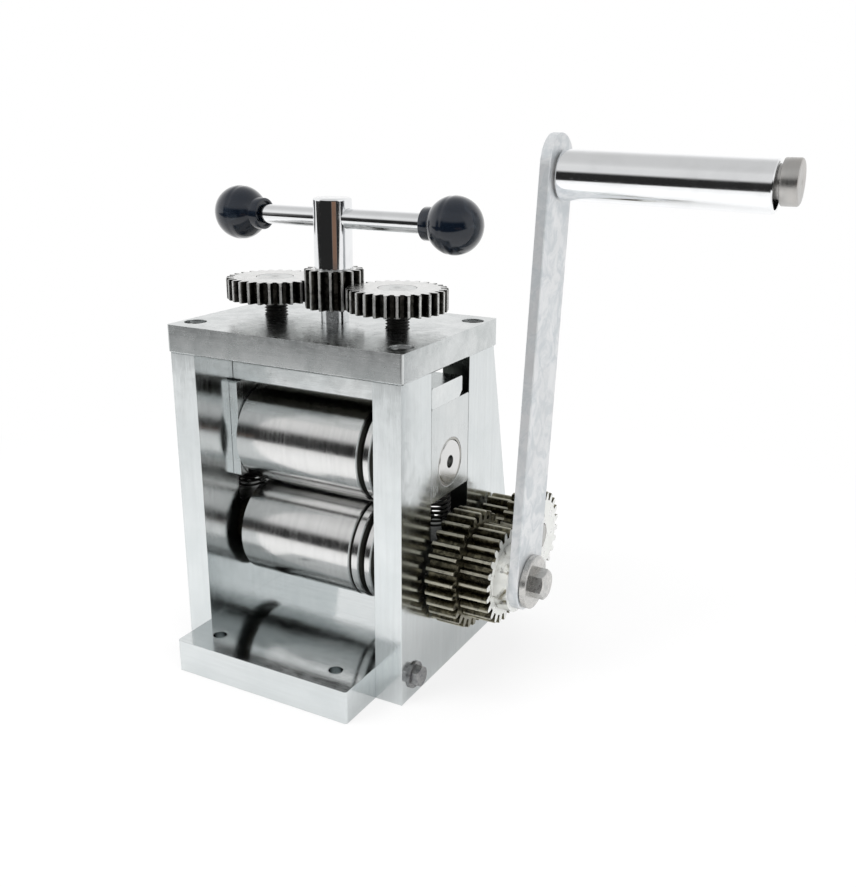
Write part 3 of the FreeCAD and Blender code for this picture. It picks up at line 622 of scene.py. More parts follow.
@dataclass(frozen=True)
class CloudyZinc:
    """Zinc plated steel with a soft mottled bloom."""

    name: str
    tone: Colour = (0.78, 0.79, 0.81)
    bloom: Colour = (0.64, 0.67, 0.70)
    roughness: float = 0.34
    spangle_scale: float = 120.0
    metal: float = 0.95

    def material(self) -> bpy.types.Material:
        """Build the material.

        Returns:
            The finished material.
        """
        board = MaterialBoard(self.name)
        mottle = board.noise(board.place(), self.spangle_scale, 5.0, 0.65, 0.9)
        cloud = board.noise(board.place(location=(0.2, 0.4, 0.1)), self.spangle_scale * 0.3, 4.0, 0.6)
        fine = board.noise(board.place(), 1800.0, 3.0, 0.6)
        tone = board.mix(board.span(mottle, 0.38, 0.62), self.tone, self.bloom)
        tone = board.mix(board.span(cloud, 0.4, 0.7, 0.0, 0.5), tone, shaded(self.tone, 0.88))
        rough = board.math("ADD", board.span(mottle, 0.3, 0.7, self.roughness - 0.07, self.roughness + 0.08),
                           board.span(fine, 0.3, 0.7, -0.02, 0.03))
        board.set(Base_Color=tone, Metallic=self.metal, Roughness=rough)
        board.bump(board.math("ADD", mottle, board.math("MULTIPLY", fine, 0.35)), 0.000025, 0.5, 0.0002)
        return board.material


@dataclass(frozen=True)
class ToothSteel:
    """Cut gear steel: dark valleys and flanks, partly oil and partly painted shade, worn tooth tips with
    bright edges, and smeared grease.
    """

    name: str
    centre: Tuple[float, float, float]
    axis: Axis
    root: float
    tip: float
    worn: Colour = (0.62, 0.60, 0.50)
    # Near-black tone of flanks and valleys: oil, and painted shade between the teeth.
    oil_and_shade_tone: Colour = (0.045, 0.041, 0.028)
    haze: Colour = (0.24, 0.22, 0.15)
    face: Colour = (0.80, 0.80, 0.79)
    grease: float = 0.0
    grease_tone: Colour = (0.76, 0.77, 0.74)

    def material(self) -> bpy.types.Material:
        """Build the material.

        Returns:
            The finished material.
        """
        board = MaterialBoard(self.name)
        radius = board.radius_about(self.centre, self.axis)
        facing = board.facing("X" if self.axis is Axis.ALONG_ROLLS else "Z")
        is_end = board.span(board.math("ABSOLUTE", facing), 0.86, 0.97)
        mottle = board.noise(board.place(), 420.0, 5.0, 0.6, 0.6)
        drift = board.noise(board.place(location=(0.4, 0.2, 0.1)), 130.0, 4.0, 0.6, 0.5)
        fine = board.noise(board.place(), 2400.0, 3.0, 0.6)
        crest = board.span(radius, (self.tip - 0.5) * MM, (self.tip - 0.02) * MM)
        crest = board.math("MULTIPLY", crest, board.span(mottle, 0.2, 0.6, 0.45, 1.0))
        # Flanks and valleys painted near black: partly oil, partly the shade between the teeth.
        flank = board.mix(board.span(mottle, 0.38, 0.72), self.oil_and_shade_tone, self.haze)
        flank = board.mix(board.span(drift, 0.5, 0.75, 0.0, 0.55), flank, shaded(self.haze, 1.6))
        tone = board.mix(crest, flank, self.worn)
        end_tone = board.mix(board.span(mottle, 0.45, 0.8, 0.0, 0.35), self.face, shaded(self.face, 0.72))
        tone = board.mix(is_end, tone, end_tone)
        metal: object = 1.0
        rough: object = board.math("ADD", board.span(mottle, 0.3, 0.7, 0.24, 0.36),
                                   board.span(fine, 0.3, 0.7, -0.02, 0.04))
        rough = board.math("ADD", rough, board.math("MULTIPLY", crest, 0.2))
        if self.grease > 0.0:
            smear = board.noise(board.place(location=(0.05, 0.02, 0.07)), 110.0, 6.0, 0.62, 1.2)
            low = board.span(radius, (self.root - 1.2) * MM, (self.root - 0.2) * MM, 1.0, 0.0)
            amount = board.span(smear, 0.60 - 0.24 * self.grease, 0.72 - 0.2 * self.grease)
            amount = board.math("MULTIPLY", amount, board.math("MAXIMUM", is_end, low))
            amount = board.math("MULTIPLY", amount, 0.8)
            tone = board.mix(amount, tone, self.grease_tone)
            metal = board.math("SUBTRACT", 1.0, amount)
            rough = board.math("MAXIMUM", rough, board.math("MULTIPLY", amount, 0.5))
        board.set(Base_Color=tone, Metallic=metal, Roughness=rough)
        board.bump(board.math("ADD", mottle, fine), 0.000012, 0.5, 0.00022)
        return board.material


@dataclass(frozen=True)
class BrightPlating:
    """Bright nickel or chrome plating with wiping marks, fingerprints and small scratches."""

    name: str
    tone: Colour = (0.86, 0.87, 0.88)
    roughness: float = 0.06
    grain: Grain = Grain.AROUND_Z
    scratches: float = 0.4

    def material(self) -> bpy.types.Material:
        """Build the material.

        Returns:
            The finished material.
        """
        board = MaterialBoard(self.name)
        wipe = board.noise(board.place(scale=self.grain.value), 900.0, 4.0, 0.6)
        smudge = board.noise(board.place(), 90.0, 5.0, 0.6, 0.5)
        scuff = board.noise(board.place(scale=(0.16, 1.0, 1.0)), 700.0, 5.0, 0.7, 0.3)
        patch = board.noise(board.place(location=(0.7, 0.2, 0.4)), 60.0, 4.0, 0.6, 0.4)
        scuffed = board.math("MULTIPLY", board.span(scuff, 0.56, 0.66), board.span(patch, 0.46, 0.62))
        scuffed = board.math("MULTIPLY", scuffed, self.scratches)
        tone = board.mix(board.span(smudge, 0.4, 0.75, 0.0, 0.5), self.tone, shaded(self.tone, 0.9))
        rough = board.math("ADD", board.span(smudge, 0.45, 0.8, self.roughness, self.roughness + 0.07),
                           board.span(wipe, 0.3, 0.7, 0.0, 0.02))
        rough = board.math("ADD", rough, board.math("MULTIPLY", scuffed, 0.35))
        board.set(Base_Color=tone, Metallic=1.0, Roughness=rough)
        board.bump(board.math("ADD", wipe, board.math("MULTIPLY", scuffed, 3.0)), 0.0000015, 0.5)
        return board.material


@dataclass(frozen=True)
class BlackOxide:
    """Blackened screw steel, rubbed bright here and there."""

    name: str
    tone: Colour = (0.022, 0.021, 0.020)
    rubbed: Colour = (0.16, 0.15, 0.14)
    roughness: float = 0.38

    def material(self) -> bpy.types.Material:
        """Build the material.

        Returns:
            The finished material.
        """
        board = MaterialBoard(self.name)
        wear = board.noise(board.place(), 700.0, 5.0, 0.65, 0.4)
        tone = board.mix(board.span(wear, 0.55, 0.8), self.tone, self.rubbed)
        board.set(Base_Color=tone, Metallic=0.85,
                  Roughness=board.span(wear, 0.3, 0.75, self.roughness + 0.1, self.roughness - 0.08))
        board.bump(wear, 0.00001, 0.5)
        return board.material


@dataclass(frozen=True)
class KnobPlastic:
    """Glossy dark moulded plastic with a faint orange-peel."""

    name: str
    tone: Colour = (0.003, 0.006, 0.012)
    dust: Colour = (0.07, 0.09, 0.115)
    clear_ior: float = 1.36

    def material(self) -> bpy.types.Material:
        """Build the material.

        Returns:
            The finished material.
        """
        board = MaterialBoard(self.name)
        peel = board.noise(board.place(), 420.0, 3.0, 0.5)
        smear = board.noise(board.place(location=(0.1, 0.0, 0.3)), 130.0, 5.0, 0.62, 0.8)
        tone = board.mix(board.span(smear, 0.5, 0.85, 0.0, 0.3), self.tone, self.dust)
        board.set(Base_Color=tone, Roughness=board.span(smear, 0.3, 0.75, 0.12, 0.26), IOR=self.clear_ior,
                  Coat_IOR=self.clear_ior, Coat_Weight=1.0, Coat_Roughness=0.06)
        board.bump(peel, 0.000012, 0.5)
        return board.material


@dataclass(frozen=True)
class BearingBronze:
    """Plain bearing bronze, dark with old oil."""

    name: str
    tone: Colour = (0.12, 0.10, 0.07)
    # On the bronze this tone is oil alone.
    oil_and_shade_tone: Colour = (0.03, 0.028, 0.022)

    def material(self) -> bpy.types.Material:
        """Build the material.

        Returns:
            The finished material.
        """
        board = MaterialBoard(self.name)
        mottle = board.noise(board.place(), 600.0, 5.0, 0.6, 0.3)
        board.set(Base_Color=board.mix(board.span(mottle, 0.35, 0.7), self.tone, self.oil_and_shade_tone), Metallic=1.0,
                  Roughness=board.span(mottle, 0.3, 0.7, 0.28, 0.42))
        board.bump(mottle, 0.00001, 0.4)
        return board.material


def dress(piece: bpy.types.Object, material: bpy.types.Material) -> None:
    """Give a piece one material in all its slots.

    Args:
        piece: The CAD node or new piece.
        material: The material.
    """
    if not piece.material_slots:
        piece.data.materials.append(material)
    for slot in piece.material_slots:
        slot.material = material


def dress_node(name: str, material: bpy.types.Material) -> None:
    """Give a CAD node a finished material."""
    dress(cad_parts[name], material)


def dress_nodes(names: Sequence[str], material: bpy.types.Material) -> None:
    """Give several CAD nodes the same finished material."""
    for name in names:
        dress_node(name, material)


def stand_in(piece: bpy.types.Object, node: str, body: str, material: bpy.types.Material) -> None:
    """Let a new piece stand for a CAD node and ride on its body.

    Args:
        piece: The new piece.
        node: Name of the CAD node that it stands for.
        body: Name of the body that carries it.
        material: Its finished material.
    """
    dress(piece, material)
    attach(piece, body)
    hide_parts(node)


@dataclass
class FramePlates:
    """Base, side plates, top plate and their screws."""

    side_plates: Tuple[str, ...] = ("left_side_plate", "right_side_plate")
    bolts: Tuple[str, ...] = ("side_plate_bolts", "side_plate_washers")
    bushes: Tuple[str, ...] = ("lower_left_bush", "lower_right_bush", "idler_bush")
    springs: Tuple[str, ...] = ("left_lift_spring", "right_lift_spring")

    def build(self) -> None:
        """Dress the frame's own nodes."""
        for node in self.side_plates:
            side = WindowSteel(node + "_steel", grain=Grain.ALONG_Z, roughness=0.12, cloud_amount=0.25,
                               edge=0.0003)
            dress_node(node, side.material())
        base = GroundSteel("base_plate_steel", roughness=0.08, roughness_swing=0.07, cloud_amount=0.25,
                           edge=0.0003)
        dress_node("base_plate", base.material())
        top = GroundSteel("top_plate_steel", tone=(0.68, 0.70, 0.70), stain=(0.38, 0.41, 0.41),
                          roughness=0.18, cloud_scale=80.0, cloud_amount=0.6, edge=0.0004)
        dress_node("top_plate", top.material())
        screws = GroundSteel("screw_steel", tone=(0.42, 0.42, 0.42), roughness=0.25, grain=Grain.NONE)
        dress_node("top_plate_screws", screws.material())
        zinc = CloudyZinc("bolt_zinc", tone=(0.36, 0.36, 0.36), bloom=(0.22, 0.22, 0.23), spangle_scale=400.0)
        dress_nodes(self.bolts, zinc.material())
        dress_nodes(self.bushes, BearingBronze("bush_bronze").material())
        wire = BlackOxide("spring_wire", rubbed=(0.04, 0.04, 0.036), roughness=0.5)
        dress_nodes(self.springs, wire.material())
        LOG.info("frame plates, screws, bushes and springs dressed")


@dataclass
class Rolls:
    """Both grooved rolls with their journals and shaft ends."""

    radius: float = 22.0
    half: float = 38.4
    journal: float = 9.3
    seat: float = 8.0
    lower_axis: float = 47.6
    upper_axis: float = 92.7
    plate_face: float = 55.0
    left_end: float = -69.2
    right_end: float = 91.85
    bolt_hole: float = 3.25
    bolt_depth: float = 24.0
    centre_hole: float = 2.7
    centre_depth: float = 5.0
    chamfer: float = 0.6
    edge: float = 0.5
    step: float = 0.1
    clip: Tuple[float, float] = (-67.7, -66.5)
    clip_depth: float = 0.9
    lower_grooves: Tuple[Tuple[float, float], ...] = ((18.2, 20.2), (22.9, 26.6), (28.9, 33.7))
    upper_grooves: Tuple[Tuple[float, float], ...] = ((22.9, 26.6), (28.9, 33.7))
    keys: Tuple[str, ...] = ("lower_roll_gear_key", "lower_coupling_key", "upper_coupling_key")
    clips: Tuple[str, ...] = ("lower_coupling_clip", "upper_coupling_clip", "adjuster_post_clip",
                              "idler_clip")

    def left_shaft(self) -> Points:
        """Shape the coupling end up to the roll's left face.

        Returns:
            Distances along the axis and radii, in millimetres.
        """
        shoulder = -self.plate_face - self.step
        groove, out = self.seat - self.clip_depth, self.left_end + self.chamfer
        return [(self.left_end, self.seat - self.chamfer), (out, self.seat), (self.clip[0], self.seat),
                (self.clip[0], groove), (self.clip[1], groove), (self.clip[1], self.seat),
                (shoulder, self.seat), (shoulder, self.journal), (-self.half, self.journal)]

    def barrel(self, grooves: Sequence[Tuple[float, float]]) -> Points:
        """Shape a roll's barrel with its V grooves.

        Args:
            grooves: Left and right edge of each groove, in millimetres.

        Returns:
            Distances along the axis and radii, in millimetres.
        """
        rim = self.radius - self.edge
        points = [(-self.half, rim), (-self.half + self.edge, self.radius)]
        for low, high in grooves:
            depth = (high - low) / 2
            points += [(low, self.radius), ((low + high) / 2, self.radius - depth), (high, self.radius)]
        return points + [(self.half - self.edge, self.radius), (self.half, rim)]

    def build(self) -> None:
        """Turn both rolls and dress them."""
        shoulder, end, face = self.plate_face + self.step, self.right_end, self.plate_face
        lower = self.left_shaft() + self.barrel(self.lower_grooves) + [
            (self.half, self.journal), (shoulder, self.journal), (shoulder, self.seat),
            (end - self.chamfer, self.seat), (end, self.seat - self.chamfer), (end, self.bolt_hole),
            (end - self.bolt_depth, self.bolt_hole - 0.05)]
        upper = self.left_shaft() + self.barrel(self.upper_grooves) + [
            (self.half, self.journal), (face - self.edge, self.journal), (face, self.journal - self.edge),
            (face, self.centre_hole), (face - self.centre_depth, self.centre_hole - 0.1)]
        for name, profile, height, body in (("lower", lower, self.lower_axis, "lower_roll_unit"),
                                            ("upper", upper, self.upper_axis, "upper_roll_unit")):
            steel = RollSteel(name + "_roll_steel", tone=(0.74, 0.74, 0.735), stain=(0.62, 0.62, 0.60),
                              roughness=0.15, roughness_swing=0.05, grain=Grain.AROUND_X, grain_scale=2400.0,
                              cloud_scale=45.0, cloud_amount=0.3, mark_depth=0.000005,
                              centre=(0.0, 0.0, height), radius=self.radius).material()
            piece = turn_piece(name + "_ground_roll", profile, mm(0, 0, height), Axis.ALONG_ROLLS, 160)
            stand_in(piece, name + "_roll", body, steel)
        dress_nodes(self.keys, GroundSteel("key_steel", tone=(0.5, 0.5, 0.5)).material())
        dress_nodes(self.clips, BlackOxide("clip_steel").material())
        LOG.info("rolls turned")


@dataclass
class Carriage:
    """Sliding bearing blocks and the pressure beam."""

    def build(self) -> None:
        """Dress the carriage nodes."""
        for side in ("left", "right"):
            dress_node(side + "_bearing_block", GroundSteel(
                side + "_block_steel", tone=(0.69, 0.71, 0.71), roughness=0.17, grain=Grain.ALONG_Z,
                cloud_amount=0.4, edge=0.0003).material())
        beam = BeamSteel("beam_steel", tone=(0.76, 0.78, 0.78), roughness=0.15, edge=0.0003)
        dress_node("pressure_beam", beam.material())
        sleeve = GroundSteel("sleeve_steel", tone=(0.42, 0.41, 0.38), roughness=0.25, grain=Grain.AROUND_X)
        dress_nodes(("upper_left_bush", "upper_right_bush"), sleeve.material())
        LOG.info("bearing blocks and beam dressed")


@dataclass
class GearSet:
    """All the cut gears with their own axes, sizes and grease."""

    crank_axis: Tuple[float, float, float] = (0.0, 0.0, 47.6)
    idler_axis: Tuple[float, float, float] = (0.0, 36.6033, 51.4)
    upper_axis: Tuple[float, float, float] = (0.0, 0.0, 92.7)
    jack_x: float = 30.25
    big_gear: Tuple[float, float] = (21.2, 24.8)
    middle_gear: Tuple[float, float] = (16.4, 20.0)
    small_gear: Tuple[float, float] = (11.6, 15.2)
    coupling_gear: Tuple[float, float] = (17.9, 26.0)
    pinion: Tuple[float, float] = (9.28, 12.375)
    jack_gear: Tuple[float, float] = (17.53, 20.625)
    oily_face: Colour = (0.26, 0.25, 0.20)

    def level_gears(self) -> None:
        """Dress the gears that turn on axes along the rolls."""
        rows = [("lower_roll_gear", self.crank_axis, self.big_gear, 0.0),
                ("crank_gear", self.crank_axis, self.middle_gear, 1.0),
                ("idler_large_gear", self.idler_axis, self.middle_gear, 1.0),
                ("idler_small_gear", self.idler_axis, self.small_gear, 0.0),
                ("lower_coupling_gear", self.crank_axis, self.coupling_gear, 0.3),
                ("upper_coupling_gear", self.upper_axis, self.coupling_gear, 0.3)]
        for node, centre, (root, tip), grease in rows:
            steel = ToothSteel(node + "_steel", centre, Axis.ALONG_ROLLS, root, tip, grease=grease)
            if grease == 0.0:
                steel = replace(steel, face=self.oily_face)
            dress_node(node, steel.material())

    def upright_gears(self) -> None:
        """Dress the pinion and the gears of the jack screws, with still blacker painted shade and oil in
        their gaps.
        """
        rows = [("adjuster_pinion", 0.0, self.pinion), ("left_jack_gear", -self.jack_x, self.jack_gear),
                ("right_jack_gear", self.jack_x, self.jack_gear)]
        for node, x, (root, tip) in rows:
            # Blacker tone in the gaps: oil and painted shade between the teeth.
            steel = ToothSteel(node + "_steel", (x, 0.0, 0.0), Axis.UPRIGHT, root, tip,
                               worn=(0.80, 0.80, 0.78), oil_and_shade_tone=(0.018, 0.018, 0.016),
                               haze=(0.09, 0.085, 0.075))
            dress_node(node, steel.material())

    def build(self) -> None:
        """Give each gear its toothed steel, and dress the idler's shaft and the washer."""
        self.level_gears()
        self.upright_gears()
        shaft = GroundSteel("idler_shaft_steel", tone=(0.45, 0.44, 0.42), grain=Grain.AROUND_X)
        dress_nodes(("idler_shaft", "idler_dowels"), shaft.material())
        dress_node("gear_thrust_washer", CloudyZinc("thrust_washer_zinc", tone=(0.6, 0.6, 0.6)).material())
        LOG.info("gears dressed")


@dataclass
class Crank:
    """Crank arm, handle and the bolt at its hub."""

    handle_y: float = 160.0 * math.sin(math.radians(5.6))
    handle_z: float = 47.6 + 160.0 * math.cos(math.radians(5.6))
    arm: Tuple[float, float] = (87.8, 91.8)
    grip: Tuple[float, float] = (92.6, 169.5)
    grip_radius: float = 9.25
    grip_bore: float = 7.7
    grip_pivot: float = 94.1
    grip_droop: float = 0.022548
    spindle: float = 5.9
    shoulder: Tuple[float, float] = (95.6, 7.6)
    cap: Tuple[float, float] = (170.9, 177.0)
    cap_radius: float = 8.0
    grip_rim: Tuple[float, float] = (0.15, 0.6)
    tail: float = 5.0
    dimple: float = 1.2

    def grip_tube(self, centre: Vector) -> None:
        """Turn the loose tube and let it hang on its pin.

        Args:
            centre: Point on the pin's axis, in metres.
        """
        (x0, x1), r, bore = self.grip, self.grip_radius, self.grip_bore
        inner, outer = self.grip_rim
        steps = [(0.0, bore), (0.0, r - outer), (inner, r - 2 * inner), (outer, r)]
        tube = turn_piece("bright_grip_tube", [(x0 + along, radius) for along, radius in steps]
                          + [(x1 - along, radius) for along, radius in reversed(steps)] + [(x0, bore)],
                          centre, Axis.ALONG_ROLLS, 128)
        make_active(tube)
        bpy.ops.object.mode_set(mode="EDIT")
        bpy.ops.mesh.select_all(action="SELECT")
        bpy.ops.transform.rotate(value=-self.grip_droop, orient_axis="Y",
                                 center_override=mm(self.grip_pivot, self.handle_y, self.handle_z))
        bpy.ops.object.mode_set(mode="OBJECT")
        plating = BrightPlating("grip_plating", tone=(0.94, 0.95, 0.96), roughness=0.10, grain=Grain.AROUND_X)
        stand_in(tube, "handle_grip", "grip", plating.material())

    def grip_pin(self, centre: Vector) -> None:
        """Turn the pin with its tail in the arm, its shoulder and its cap.

        Args:
            centre: Point on the pin's axis, in metres.
        """
        a0, a1 = self.arm
        c0, c1 = self.cap
        q = self.cap_radius
        s1, s = self.shoulder
        pin = turn_piece("handle_pin", [
            (a0 + 0.1, self.tail - 0.3), (a0 + 0.4, self.tail), (a1, self.tail), (a1, s), (s1, s),
            (s1, self.spindle), (c0, self.spindle), (c0, q - 0.5), (c0 + 0.15, q - 0.15), (c0 + 0.5, q),
            (c1 - 0.8, q), (c1 - 0.3, q - 0.25), (c1, q - 0.8), (c1, self.dimple),
            (c1 - 0.25, self.dimple / 2)], centre, Axis.ALONG_ROLLS, 96)
        steel = GroundSteel("handle_pin_steel", tone=(0.52, 0.50, 0.48), roughness=0.3, grain=Grain.AROUND_X,
                            grain_scale=1500.0)
        stand_in(pin, "handle_spindle", "crank", steel.material())

    def build(self) -> None:
        """Turn the handle and dress the crank."""
        centre = mm(0, self.handle_y, self.handle_z)
        self.grip_tube(centre)
        self.grip_pin(centre)
        arm = CloudyZinc("crank_arm_zinc", tone=(0.74, 0.75, 0.76), bloom=(0.60, 0.63, 0.65), roughness=0.45,
                         metal=0.7)
        dress_node("crank_arm", arm.material())
        bolt = CloudyZinc("crank_bolt_zinc", tone=(0.62, 0.61, 0.59), bloom=(0.5, 0.5, 0.49), roughness=0.28,
                          spangle_scale=300.0)
        dress_nodes(("crank_end_bolt", "crank_end_washer"), bolt.material())
        LOG.info("crank and handle built")


@dataclass
class GapAdjuster:
    """Jack screws, post, sliding bar and its ball knobs."""

    screw_x: float = 30.25
    screw_radius: float = 5.0
    screw_core: float = 4.25
    pitch: float = 1.25
    gear: Tuple[float, float] = (153.0, 162.0)
    head_radius: float = 8.0
    foot: float = 127.0
    bar_height: float = 187.9
    bar_turn: float = math.radians(-1.7)
    bar_offset: float = 4.4
    bar_half: float = 52.2
    bar_radius: float = 4.0
    ball: float = 11.2
    neck: float = 6.5
    neck_end: float = 13.0
    mouth: Tuple[float, float] = (5.4, 1.2)
    bar_reach: float = 51.0
    bar_edge: float = 0.6
    hole_play: float = 0.05
    head_edge: float = 0.3
    head_dimple: Tuple[float, float] = (2.0, 0.6)
    ball_steps: int = 40
    seam: Tuple[float, float, float] = (math.radians(96.0), 0.04, 0.12)
    post_foot: float = 134.1
    post_groove: Tuple[float, float, float] = (135.85, 137.05, 3.8)
    spigot: float = 4.5
    pinion_seat: Tuple[float, float, float] = (145.55, 167.5, 5.85)
    post_radius: float = 7.95
    post_edge: float = 0.4
    post_crown: Tuple[Tuple[float, float], ...] = ((194.9, 0.0), (195.2, 0.0), (195.75, 0.25), (196.0, 0.8))
    post_top: float = 196.0

    def threaded_screw(self, side: str, x: float, black: bpy.types.Material,
                       head: bpy.types.Material) -> None:
        """Make one jack screw with its head and wound thread.

        Args:
            side: Left or right.
            x: Place of its axis, in millimetres.
            black: Finish of the thread.
            head: Finish of the head.
        """
        z0, z1 = self.gear
        r, core, rim = self.screw_radius, self.screw_core, self.head_edge
        dimple, deep = self.head_dimple
        body = turn_piece(side + "_threaded_screw", [
            (self.foot, r - 0.9), (self.foot + 0.5, core), (z0 - 0.9, core), (z0 - 0.5, core),
            (z0, core), (z0, self.head_radius), (z1 - rim, self.head_radius), (z1, self.head_radius - rim),
            (z1, dimple), (z1 - deep, deep)], mm(x, 0, 0), Axis.UPRIGHT, 64)
        ridge = wind_thread(side + "_thread", core, r, self.pitch, self.foot + 0.4, z0 - 0.2, mm(x, 0, 0))
        screw = join_pieces(body, ridge)
        stand_in(screw, side + "_jack_screw", side + "_jack", black)
        screw.data.materials.append(head)
        for face in screw.data.polygons:
            if face.center.z > (z0 + 0.01) * MM:
                face.material_index = 1

    def bar_matrix(self) -> Matrix:
        """Return the turn of the bar about the post."""
        return Matrix.Rotation(self.bar_turn, 4, "Z")

    def lay_along_bar(self, piece: bpy.types.Object, offset: float, flip: bool) -> None:
        """Move a piece turned on the X axis to its place on the bar.

        Args:
            piece: The piece, turned about the X axis at the origin.
            offset: Distance along the bar from the post, in millimetres.
            flip: True to point it the other way.
        """
        make_active(piece)
        piece.rotation_euler = (0.0, 0.0, self.bar_turn + (math.pi if flip else 0.0))
        along = self.bar_matrix() @ Vector((offset * MM, 0.0, 0.0))
        piece.location = along + mm(0, 0, self.bar_height)
        bpy.ops.object.transform_apply(location=True, rotation=True, scale=True)

    def ball_profile(self) -> Points:
        """Shape a ball knob from its neck to its crown, with a fine moulding line.

        Returns:
            Distances along the axis and radii, in millimetres.
        """
        mouth_radius, mouth_depth = self.mouth
        end, neck = -self.neck_end, self.neck
        floor = mouth_depth - self.neck_end
        points = [(floor, self.bar_radius), (floor, mouth_radius), (end, mouth_radius), (end, neck - 0.5),
                  (end + 0.15, neck - 0.15), (end + 0.5, neck)]
        start = math.pi - math.asin(neck / self.ball)
        seam_angle, seam_half, seam_depth = self.seam
        for i in range(self.ball_steps + 1):
            angle = start * (1 - i / self.ball_steps)
            radius = self.ball - (seam_depth if abs(angle - seam_angle) < seam_half else 0.0)
            points.append((radius * math.cos(angle), max(radius * math.sin(angle), 0.03)))
        return points

    def jack_screws(self) -> None:
        """Make both jack screws and dress their pins."""
        black = BlackOxide("jack_screw_black").material()
        head = GroundSteel("jack_head_steel", tone=(0.70, 0.70, 0.69), roughness=0.24, grain=Grain.NONE,
                           cloud_scale=160.0).material()
        self.threaded_screw("left", -self.screw_x, black, head)
        self.threaded_screw("right", self.screw_x, black, head)
        pins = GroundSteel("jack_pin_steel", tone=(0.5, 0.5, 0.5), grain=Grain.NONE)
        dress_nodes(("left_jack_pins", "right_jack_pins", "adjuster_key"), pins.material())

    def post(self) -> None:
        """Turn the post and drill the bar's hole through it."""
        r, spigot, foot, rim = self.post_radius, self.spigot, self.post_foot, self.post_edge
        low, high, groove = self.post_groove
        seat, shoulder, seat_radius = self.pinion_seat
        piece = turn_piece("bright_post", [
            (foot, spigot - 0.4), (foot + 0.4, spigot), (low, spigot), (low, groove), (high, groove),
            (high, spigot), (seat, spigot), (seat, seat_radius), (shoulder, seat_radius), (shoulder, r - rim),
            (shoulder + rim, r)] + [(height, r - drop) for height, drop in self.post_crown]
            + [(self.post_top, 0.5)], mm(0, 0, 0), Axis.UPRIGHT, 128)
        along = self.bar_matrix() @ Vector((0.02, 0.0, 0.0))
        height = mm(0, 0, self.bar_height)
        bore_through(piece, (self.bar_radius + self.hole_play) * MM, height - along, height + along)
        make_active(piece)
        bpy.ops.object.shade_smooth_by_angle(angle=math.radians(30.0))
        stand_in(piece, "adjuster_post", "adjuster",
                 BrightPlating("post_plating", roughness=0.05).material())

    def bar_and_knobs(self) -> None:
        """Turn the sliding bar and a ball knob for each end."""
        reach, r, edge = self.bar_reach, self.bar_radius, self.bar_edge
        bar = turn_piece("bright_bar", [(-reach, r - edge), (-reach + edge, r), (reach - edge, r),
                                        (reach, r - edge)], Vector((0, 0, 0)), Axis.ALONG_ROLLS, 64)
        self.lay_along_bar(bar, self.bar_offset, False)
        plating = BrightPlating("bar_plating", roughness=0.08, grain=Grain.AROUND_X)
        stand_in(bar, "tommy_bar", "sliding_bar", plating.material())
        plastic = KnobPlastic("knob_plastic").material()
        for side, sign in (("left", -1), ("right", 1)):
            knob = turn_piece(side + "_moulded_knob", self.ball_profile(), Vector((0, 0, 0)),
                              Axis.ALONG_ROLLS, 96, 40.0)
            self.lay_along_bar(knob, self.bar_offset + sign * self.bar_half, sign < 0)
            stand_in(knob, side + "_ball_knob", "sliding_bar", plastic)

    def build(self) -> None:
        """Make the adjuster's pieces and dress them."""
        self.jack_screws()
        self.post()
        self.bar_and_knobs()
        LOG.info("gap adjuster built")


